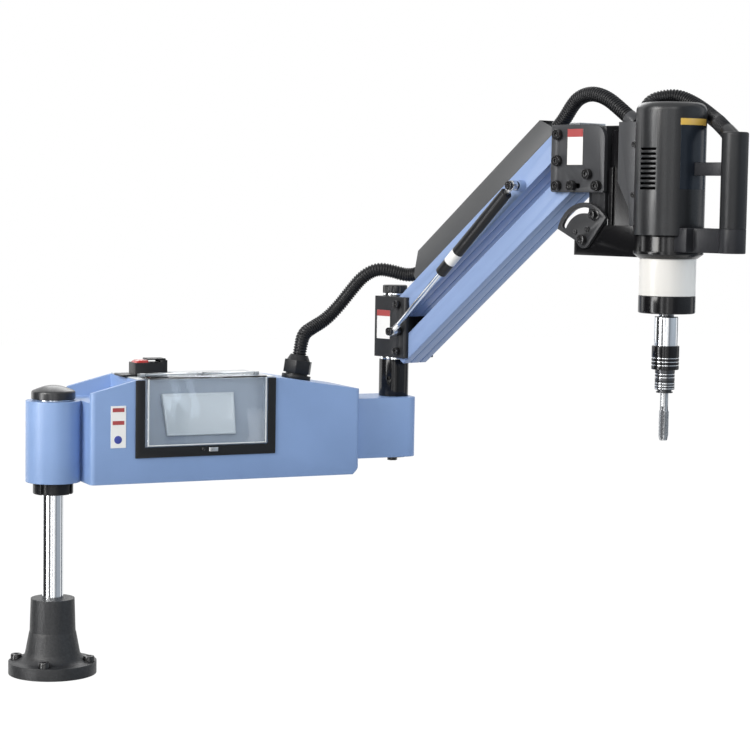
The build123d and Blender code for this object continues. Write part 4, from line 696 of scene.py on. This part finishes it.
def dress_head():
    rounded("head_plate_near", "Plate Dark Paint", 0.0010)
    rounded("head_plate_far", "Plate Dark Paint", 0.0010)
    rounded("head_core", "Block Dark Paint", 0.0010)
    rounded("head_bolts", "Blackened Steel", 0.0005)
    bolt = rounded("slot_bolt", "Blackened Steel", 0.0005)
    pin = rounded("tilt_pin", "Blackened Steel", 0.0005)
    tilt_x, tilt_z = TILT_PIVOT
    turn = radians(SLOT_BOLT_ANGLE)
    bolt_x, bolt_z = tilt_x + SLOT_RADIUS * cos(turn), tilt_z + SLOT_RADIUS * sin(turn)
    hexagon_socket(bolt, near_side(ARM, bolt_x, -near_face("slot_bolt"), bolt_z), 6.5, 3.5)
    hexagon_socket(pin, near_side(ARM, tilt_x, -near_face("tilt_pin"), tilt_z), 6.5, 3.5)
    plate_on("head_clip", (436, -30, 912.7), (458, 30, 915.5), ARM, "Satin Steel", "head_bracket")
    rounded("tilt_sector", "Sector Paint", 0.0009)
    rounded("motor_bracket", "Black Enamel", 0.0012)
    rounded("wire_box", "Plate Dark Paint", 0.0010)
    headed_label("head_plate_label", "head_plate_band", 437, 470, 849, 893, 905.5, "head_plate_near")
    plate_face = near_face("head_plate_near")
    screw = cap_screw("head_screw", 8.5, near_face("head_bolts") - plate_face + 0.5, 3.6)
    pin_x, pin_z = tilt_x + HEAD_PIN_FROM_TILT[0], tilt_z + HEAD_PIN_FROM_TILT[1]
    spots = ((0, 0), (0, -81.0), (0.1, -41.4), (32.2, -80.8), (65.3, -62.4), (85.2, -80.5))
    place_screws(screw, [near_side(ARM, pin_x + dx, -plate_face, pin_z + dz) for dx, dz in spots],
                 "head_bracket")
    for name, node, spots in (("sector_screw", "tilt_sector", ((457.3, 743.9), (483.2, 748.4))),
                              ("box_screw", "wire_box", ((577, 880), (577, 803)))):
        screw = cap_screw(name, 4.2, 3.0, 2.0)
        place_screws(screw, [near_side(ARM, x, -near_face(node), z) for x, z in spots], body_of(node))


def dress_motor():
    rounded("motor_housing", "Motor Paint", 0.0006)
    # Painted shade: the core seen through the vents is near black.
    paint_node("motor_core", "Painted Vent Shade")
    rounded("gearbox", "Gearbox Enamel", 0.0006)
    rounded("spindle_nose", "Black Enamel", 0.0008)
    paint_node("nose_bearing", "Satin Steel")
    for name, thick, low, high, start, finish in (("motor_band", 0.35, 177, 187, -35, "Label Yellow"),
                                                  ("motor_plate", 0.3, 80, 176.8, -34, "Label Slate")):
        plate = arc_plate(name, 54, thick, low, high, start, 25)
        settle(plate, CARRIAGE)
        finish_piece(plate, finish, "head_carriage")


def dress_handle():
    rounded("handle_arm", "Handle Paint", 0.0014)
    rounded("handle_grip", "Grip Paint", 0.0010)
    rounded("handle_push", "Red Plastic", 0.0006)


def tap_piece():
    """The tap with its thread turned in and its flutes cut along it."""
    tip, top, pitch = TAP_TIP, TAP_THREAD_TOP, TAP_PITCH
    profile = [(5.6, tip), (6.0, tip + 0.5)]
    height = tip + 1.2
    while height < top - pitch:
        crest = min(8.0, 6.4 + 1.6 * (height - tip) / 8)
        profile += [(crest - 0.85, height), (crest, height + pitch * 0.4), (crest, height + pitch * 0.55)]
        height += pitch
    profile += [(7.2, top), (6.25, top + 3), (6.25, -202.5), (5.9, -202)]
    obj = turned("tap_piece", profile, 48)
    flutes, flute_radius, flute_circle, flute_length = 4, 3.2 * MM, 8.6 * MM, 54 * MM
    for n in range(flutes):
        nothing_selected()
        angle = radians(360 / flutes * n + 20)
        bpy.ops.mesh.primitive_cylinder_add(
            vertices=28, radius=flute_radius, depth=flute_length,
            location=(flute_circle * cos(angle), flute_circle * sin(angle), (tip + top + 7) / 2 * MM))
        cut_with(obj, bpy.context.active_object)
    smooth(obj, 30)
    settle(obj, CARRIAGE)
    return obj


def paint_flute_shade(tap):
    """Paint shade into the tap's flutes and thread roots with a darker steel: all that lies near its axis.
    """
    tap.data.materials.append(FINISHES["Dark Steel And Flute Shade"])
    axis = CARRIAGE.to_translation()
    for face in tap.data.polygons:
        out = Vector((face.center.x - axis.x, face.center.y - axis.y, 0)).length / MM
        above_tip = (face.center.z - axis.z) / MM - TAP_TIP
        if above_tip < 52 and out < min(6.2, 4.6 + 0.2 * above_tip):
            face.material_index = 1


def dress_spindle():
    rounded("spindle", "Ground Steel", 0.0005)
    rounded("chuck_sleeve", "Black Enamel", 0.0004)
    rounded("tap_holder", "Dark Steel And Flute Shade", 0.0004)
    rounded("holder_collar", "Dark Steel And Flute Shade", 0.0004)
    tap = finish_piece(tap_piece(), "Tool Steel", body_of("tap"), "tap")
    paint_flute_shade(tap)
    for name, node, inner, rings in (("sleeve_ring", "chuck_sleeve", 20.4, (-190, -184.5, -179)),
                                     ("holder_ring", "tap_holder", 14.4, (-209, -204)),
                                     ("collar_ring", "holder_collar", 14.9, (-226, -222, -218))):
        outer = inner + 0.7
        for n, z in enumerate(rings):
            low, high = z - 0.6, z + 0.6
            section = [(inner, low), (outer, low), (outer, high), (inner, high)]
            ring = turned(f"{name}_{n + 1}", section, 72, hollow=True)
            fit_turned(ring, CARRIAGE, "Ground Steel", body_of(node), angle=40)


# ---------- hoses
def smooth_path(name, points):
    """Points along the smooth line that a list of control points draws."""
    curve = bpy.data.curves.new(name + "_line", "CURVE")
    curve.dimensions = "3D"
    curve.resolution_u = 16
    spline = curve.splines.new("NURBS")
    spline.points.add(len(points) - 1)
    for place, point in zip(spline.points, points):
        place.co = (*point, 1)
    spline.order_u = 3
    spline.use_endpoint_u = True
    holder = add_object(name + "_line", curve)
    bpy.context.view_layer.update()
    mesh = bpy.data.meshes.new_from_object(holder)
    path = [v.co.copy() for v in mesh.vertices]
    bpy.data.meshes.remove(mesh)
    bpy.data.objects.remove(holder)
    bpy.data.curves.remove(curve)
    return path


def along_path(path):
    """Running length at each point of a path."""
    marks = [0.0]
    for before, after in zip(path, path[1:]):
        marks.append(marks[-1] + (after - before).length)
    return marks


def spot_on(path, marks, distance):
    """The point and direction of a path at a distance from its start."""
    k = 0
    while k < len(marks) - 2 and marks[k + 1] < distance:
        k += 1
    share = (distance - marks[k]) / max(1e-9, marks[k + 1] - marks[k])
    here = path[k].lerp(path[k + 1], share)
    ahead = (path[k + 1] - path[k]).normalized()
    return here, ahead


def ribbed_tube(name, path, start, end, cross, sides=28):
    """A corrugated tube along part of a path, with one rounded rib every pitch."""
    sizes = bpy.context.scene.machine_sizes
    crest = sizes.hose_radius
    root, shoulder = crest - 1.6 * MM, crest - 0.3 * MM
    closed = root - 2.2 * MM
    marks = along_path(path)
    count = max(1, round((end - start) / sizes.rib_pitch))
    profile = ((0.0, root), (0.16, root), (0.30, shoulder), (0.44, crest), (0.58, crest),
               (0.72, shoulder), (0.86, root))
    rings = [(start + (end - start) * (n + share) / count, radius)
             for n in range(count) for share, radius in profile]
    rings = [(start, closed), *rings, (end, root), (end, closed)]
    build = bmesh.new()
    way = Vector(cross)
    rows = []
    for distance, radius in rings:
        here, ahead = spot_on(path, marks, distance)
        side = (way - ahead * way.dot(ahead)).normalized()
        other = ahead.cross(side)
        turns = [2 * pi * k / sides for k in range(sides)]
        rows.append([build.verts.new(here + radius * (cos(a) * side + sin(a) * other)) for a in turns])
    for before, after in zip(rows, rows[1:]):
        for k in range(sides):
            j = (k + 1) % sides
            build.faces.new((before[k], before[j], after[j], after[k]))
    build.faces.new(list(reversed(rows[0])))
    build.faces.new(rows[-1])
    mesh = bpy.data.meshes.new(name)
    build.to_mesh(mesh)
    build.free()
    obj = add_object(name, mesh)
    outward(obj)
    smooth(obj, 50)
    kept = [spot_on(path, marks, start + (end - start) * n / 60)[0] for n in range(61)]
    return obj, kept


def cover_point(along_bar, above_bar):
    along, height = bar_spot(along_bar, above_bar)
    return arm_point(along, 0, height)


def gland_point(rise):
    """A point on the cable gland's axis, which stands square to the casting's sloping top."""
    gland_x, slope_start, slope_height = 431, 366, 489
    turn = atan2(23.0, 155.0)
    foot = slope_height - (gland_x - slope_start) * tan(turn)
    return ((gland_x + rise * sin(turn)) * MM, 0.0, (foot + rise * cos(turn)) * MM)


def elbow_line():
    middle = [(447, 6, 557), (468, 14, 567), (494, 18, 580), (517, 14, 604), (536, 5, 632),
              (553, -7, 657), (575, -19, 670), (599, -31, 666), (619, -44, 659)]
    return ([gland_point(42), gland_point(56)] + [[c * MM for c in spot] for spot in middle]
            + [cover_point(47, 31.5), cover_point(71, 31.5)])


def head_line():
    middle = [(418, 1, 950), (440, 3, 960), (464, 4, 962), (489, 4, 955), (512, 3, 941), (536, 3, 924)]
    return [cover_point(438, 31.5), cover_point(462, 31.5)] + [arm_point(*spot) for spot in middle]


def handle_line():
    spots = [(547, -22.5, 915), (547, -22.5, 936), (548, -38, 951), (561, -54, 957),
             (578, -64, 957), (598, -69.5, 949), (619, -69, 939), (640, -65, 928),
             (661, -55, 919), (680, -38, 915), (698, -19, 912), (718, -12, 900)]
    return [arm_point(*spot) for spot in spots]


def dress_hoses():
    across_arm = (0.956, 0.292, 0.0)
    for node, line, cross, tail, bodies in (
            ("elbow_hose", elbow_line(), (0.5, 0.85, -0.1), 82, ("lower_arm", "elbow", "upper_link")),
            ("head_hose", head_line(), across_arm, 46, ("upper_link", "head_bracket", "head_carriage"))):
        path = smooth_path(node, line)
        total = along_path(path)[-1]
        split = total - tail * MM
        upper, _ = lay_hose(node + "_upper", path, split, total, cross, node, bodies[1], bodies[2])
        lower, kept = lay_hose(node + "_lower", path, 0, split, cross, node, bodies[0], bodies[1])
    path = smooth_path("handle_hose", handle_line())
    total = along_path(path)[-1]
    hose, kept = lay_hose("handle_hose_piece", path, 0, total, across_arm, "handle_hose", "head_carriage")


def lay_hose(name, path, start, end, cross, node, first_body, last_body=None):
    """Make a stretch of hose, and fix it to its body when it meets only one; a stretch that meets two is
    fixed to neither and stays where it is laid.
    """
    hose, kept = ribbed_tube(name, path, start, end, cross)
    finish_piece(hose, "Hose Plastic", None if last_body else first_body, node)
    if last_body:
        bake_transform(hose)
    return hose, kept


# ---------- stage
# Upright cards round the machine that only its shiny surfaces see: place, width and colour.
# The dark ones shade its blacks, and the narrow bright ones are the streaks on its round parts.
CARDS = (
    (-2.44, -1.98, 0.90, (0.05, 0.05, 0.05)),
    (-2.90, 0.35, 0.90, (0.09, 0.09, 0.10)),
    (-1.95, 0.95, 1.70, (0.04, 0.04, 0.04)),
    (-0.98, -2.72, 0.16, (0.30, 0.31, 0.33)),
    (0.84, -2.90, 0.80, (0.24, 0.26, 0.29)),
    (2.10, -2.20, 3.40, (0.38, 0.42, 0.47)),
    (3.20, 0.20, 1.00, (0.10, 0.12, 0.15)),
    (-2.30, -0.44, 0.50, (12.0, 12.0, 12.0)),
    (-1.45, -2.30, 0.24, (5.0, 5.0, 5.0)),
    (-0.55, -2.95, 0.20, (4.0, 4.0, 4.0)),
    (-0.75, 1.85, 0.28, (3.0, 3.0, 3.0)),
)


def stand_card(name, x, y, width, colour):
    """An upright card that faces the machine and lights nothing: only reflections show it."""
    nothing_selected()
    bpy.ops.mesh.primitive_plane_add(size=1)
    card = bpy.context.active_object
    card.name = name
    facing = (Vector((0.4, -0.3, 0)) - Vector((x, y, 0))).to_track_quat("Z", "Y").to_matrix().to_4x4()
    card.data.transform(Matrix.Translation((x, y, 0.5)) @ facing @ Matrix.Diagonal((width, 6.0, 1, 1)))
    material = bpy.data.materials.new(name)
    material.use_nodes = True
    tree = material.node_tree
    tree.nodes.remove(tree.nodes["Principled BSDF"])
    plain = add_node(tree, "Emission", {"Color": (*colour, 1)})
    feed(tree, tree.nodes["Material Output"], {"Surface": plain.outputs["Emission"]})
    card.data.materials.append(material)
    for ray in ("camera", "diffuse", "shadow", "transmission"):
        setattr(card, "visible_" + ray, False)


def seen_directly(tree):
    """1 on rays that show a surface or its reflection, 0 on those that light the machine."""
    rays = add_node(tree, "LightPath", {}).outputs
    seen = rays["Is Camera Ray"]
    for other in ("Is Glossy Ray", "Is Transmission Ray"):
        seen = add_node(tree, "Math", {0: seen, 1: rays[other]}, operation="MAXIMUM").outputs["Value"]
    return seen


def lay_floor():
    """A floor that keeps the machine's shadow and is white to the camera."""
    grey, glow_strength, glow_share = 0.42, 1.14, 0.86
    nothing_selected()
    bpy.ops.mesh.primitive_plane_add(size=14, location=(0.4, 0.5, 0))
    floor = bpy.context.active_object
    floor.name = "studio_floor"
    settle(floor, HOME)
    material = bpy.data.materials.new("Studio Floor")
    material.use_nodes = True
    tree = material.node_tree
    shader = tree.nodes["Principled BSDF"]
    feed(tree, shader, {"Base Color": (grey, grey, grey, 1), "Roughness": 0.9, "Specular IOR Level": 0.1})
    glow = add_node(tree, "Emission", {"Color": (1, 1, 1, 1), "Strength": glow_strength})
    share = add_node(tree, "Math", {0: seen_directly(tree), 1: glow_share}, operation="MULTIPLY")
    mix = add_node(tree, "MixShader", {"Fac": share.outputs["Value"], 1: shader.outputs["BSDF"],
                                       2: glow.outputs["Emission"]})
    feed(tree, tree.nodes["Material Output"], {"Surface": mix.outputs["Shader"]})
    floor.data.materials.append(material)
    floor.visible_glossy = False


def set_world():
    """An even, dim light from all round, and a white background."""
    world = bpy.data.worlds.new("Studio")
    bpy.context.scene.world = world
    world.use_nodes = True
    tree = world.node_tree
    plain = tree.nodes["Background"]
    feed(tree, plain, {"Color": (1, 1, 1, 1), "Strength": 0.50})
    seen = add_node(tree, "Background", {"Color": (1, 1, 1, 1), "Strength": 1.0})
    mix = add_node(tree, "MixShader", {"Fac": seen_directly(tree), 1: plain.outputs["Background"],
                                       2: seen.outputs["Background"]})
    feed(tree, tree.nodes["World Output"], {"Surface": mix.outputs["Shader"]})


def hang_lamps():
    for name, spot, aim, size, power, tint in (
            ("key", (-2.5, -0.9, 2.0), (0.4, -0.2, 0.5), 1.5, 92, (1.0, 0.98, 0.95)),
            ("front", (-0.6, -3.2, 2.6), (0.5, -0.3, 0.5), 1.2, 13, (1.0, 1.0, 1.0)),
            ("fill", (3.0, -2.4, 1.2), (0.7, -0.4, 0.7), 1.8, 30, (0.78, 0.89, 1.0)),
            ("back", (1.2, 2.6, 2.4), (0.5, -0.2, 0.6), 1.6, 26, (1.0, 1.0, 1.0))):
        light = bpy.data.lights.new(name, "AREA")
        light.shape = "SQUARE"
        light.size = size
        light.energy = power
        light.color = tint
        lamp = add_object(name, light)
        lamp.location = spot
        lamp.rotation_euler = (Vector(aim) - Vector(spot)).to_track_quat("-Z", "Y").to_euler()


def set_camera():
    """The camera of the photo: where it stood and how it was turned, tilted and rolled."""
    spot, focal_pixels, picture_pixels = (-0.993, -3.377, 0.789), 2130, 750
    turn, tilt, roll = radians(-25), radians(4.7), radians(0.9)
    up = Vector((0, 0, 1))
    level = Vector((-sin(turn), cos(turn), 0))
    right = Vector((cos(turn), sin(turn), 0))
    ahead = level * cos(tilt) - up * sin(tilt)
    above = up * cos(tilt) + level * sin(tilt)
    right, above = right * cos(roll) + above * sin(roll), above * cos(roll) - right * sin(roll)
    camera = bpy.data.cameras.new("camera")
    camera.sensor_width = 36
    camera.lens = focal_pixels / picture_pixels * camera.sensor_width
    camera.clip_end = 50
    holder = add_object("camera", camera)
    holder.matrix_world = Matrix.Translation(spot) @ Matrix((right, above, -ahead)).transposed().to_4x4()
    bpy.context.scene.camera = holder


def build_stage():
    lay_floor()
    set_world()
    hang_lamps()
    for n, (x, y, width, colour) in enumerate(CARDS):
        stand_card(f"stage_card_{n + 1}", x, y, width, colour)
    set_camera()
    bpy.context.scene.view_settings.view_transform = "Standard"


# ---------- operators
class TAPPER_OT_finishes(bpy.types.Operator):
    """Build the finishes of the machine"""
    bl_idname = "tapper.finishes"
    bl_label = "Finishes"

    def execute(self, context):
        make_finishes()
        return {"FINISHED"}


class TAPPER_OT_base(bpy.types.Operator):
    """Dress the base, the column and its cap"""
    bl_idname = "tapper.base"
    bl_label = "Base and Column"

    def execute(self, context):
        dress_base()
        return {"FINISHED"}


class TAPPER_OT_lower_arm(bpy.types.Operator):
    """Dress the cast lower arm"""
    bl_idname = "tapper.lower_arm"
    bl_label = "Lower Arm"

    def execute(self, context):
        dress_lower_arm()
        return {"FINISHED"}


class TAPPER_OT_panel(bpy.types.Operator):
    """Dress the control panel, its cover and the stop switch"""
    bl_idname = "tapper.panel"
    bl_label = "Control Panel"

    def execute(self, context):
        dress_panel()
        return {"FINISHED"}


class TAPPER_OT_elbow(bpy.types.Operator):
    """Dress the elbow post and block"""
    bl_idname = "tapper.elbow"
    bl_label = "Elbow"

    def execute(self, context):
        dress_elbow()
        return {"FINISHED"}


class TAPPER_OT_links(bpy.types.Operator):
    """Dress the two bars and the cable cover"""
    bl_idname = "tapper.links"
    bl_label = "Parallelogram Bars"

    def execute(self, context):
        dress_links()
        return {"FINISHED"}


class TAPPER_OT_gas_spring(bpy.types.Operator):
    """Dress the gas spring"""
    bl_idname = "tapper.gas_spring"
    bl_label = "Gas Spring"

    def execute(self, context):
        dress_gas_spring()
        return {"FINISHED"}


class TAPPER_OT_head(bpy.types.Operator):
    """Dress the head plates, the tilt sector and the motor bracket"""
    bl_idname = "tapper.head"
    bl_label = "Head Bracket"

    def execute(self, context):
        dress_head()
        return {"FINISHED"}


class TAPPER_OT_motor(bpy.types.Operator):
    """Dress the motor and the gearbox"""
    bl_idname = "tapper.motor"
    bl_label = "Motor and Gearbox"

    def execute(self, context):
        dress_motor()
        return {"FINISHED"}


class TAPPER_OT_handle(bpy.types.Operator):
    """Dress the handle"""
    bl_idname = "tapper.handle"
    bl_label = "Handle"

    def execute(self, context):
        dress_handle()
        return {"FINISHED"}


class TAPPER_OT_spindle(bpy.types.Operator):
    """Dress the spindle, the chuck and the tap"""
    bl_idname = "tapper.spindle"
    bl_label = "Spindle and Tap"

    def execute(self, context):
        dress_spindle()
        return {"FINISHED"}


class TAPPER_OT_hoses(bpy.types.Operator):
    """Lay the three corrugated hoses"""
    bl_idname = "tapper.hoses"
    bl_label = "Hoses"

    def execute(self, context):
        dress_hoses()
        return {"FINISHED"}


class TAPPER_OT_stage(bpy.types.Operator):
    """Set the floor, the lights and the camera"""
    bl_idname = "tapper.stage"
    bl_label = "Stage"

    def execute(self, context):
        build_stage()
        return {"FINISHED"}


STEPS = ("finishes", "base", "lower_arm", "panel", "elbow", "links", "gas_spring", "head", "motor",
         "handle", "spindle", "hoses", "stage")


class TAPPER_PT_panel(bpy.types.Panel):
    bl_label = "Arm Tapping Machine"
    bl_idname = "TAPPER_PT_panel"
    bl_space_type = "VIEW_3D"
    bl_region_type = "UI"
    bl_category = "Tapper"

    def draw(self, context):
        for settings in (context.scene.machine_sizes, context.scene.machine_colours):
            for field in type(settings).__annotations__:
                self.layout.prop(settings, field)
        for step in STEPS:
            self.layout.operator(f"tapper.{step}")


CLASSES = (MachineSizes, MachineColours, TAPPER_OT_finishes, TAPPER_OT_base, TAPPER_OT_lower_arm,
           TAPPER_OT_panel, TAPPER_OT_elbow, TAPPER_OT_links, TAPPER_OT_gas_spring, TAPPER_OT_head,
           TAPPER_OT_motor, TAPPER_OT_handle, TAPPER_OT_spindle, TAPPER_OT_hoses, TAPPER_OT_stage,
           TAPPER_PT_panel)


def register():
    for cls in CLASSES:
        bpy.utils.register_class(cls)
    bpy.types.Scene.machine_sizes = bpy.props.PointerProperty(type=MachineSizes)
    bpy.types.Scene.machine_colours = bpy.props.PointerProperty(type=MachineColours)


def unregister():
    del bpy.types.Scene.machine_colours
    del bpy.types.Scene.machine_sizes
    for cls in reversed(CLASSES):
        bpy.utils.unregister_class(cls)


def main():
    register()
    for step in STEPS:
        getattr(bpy.ops.tapper, step)()
    nothing_selected()


if __name__ == "__main__":
    main()
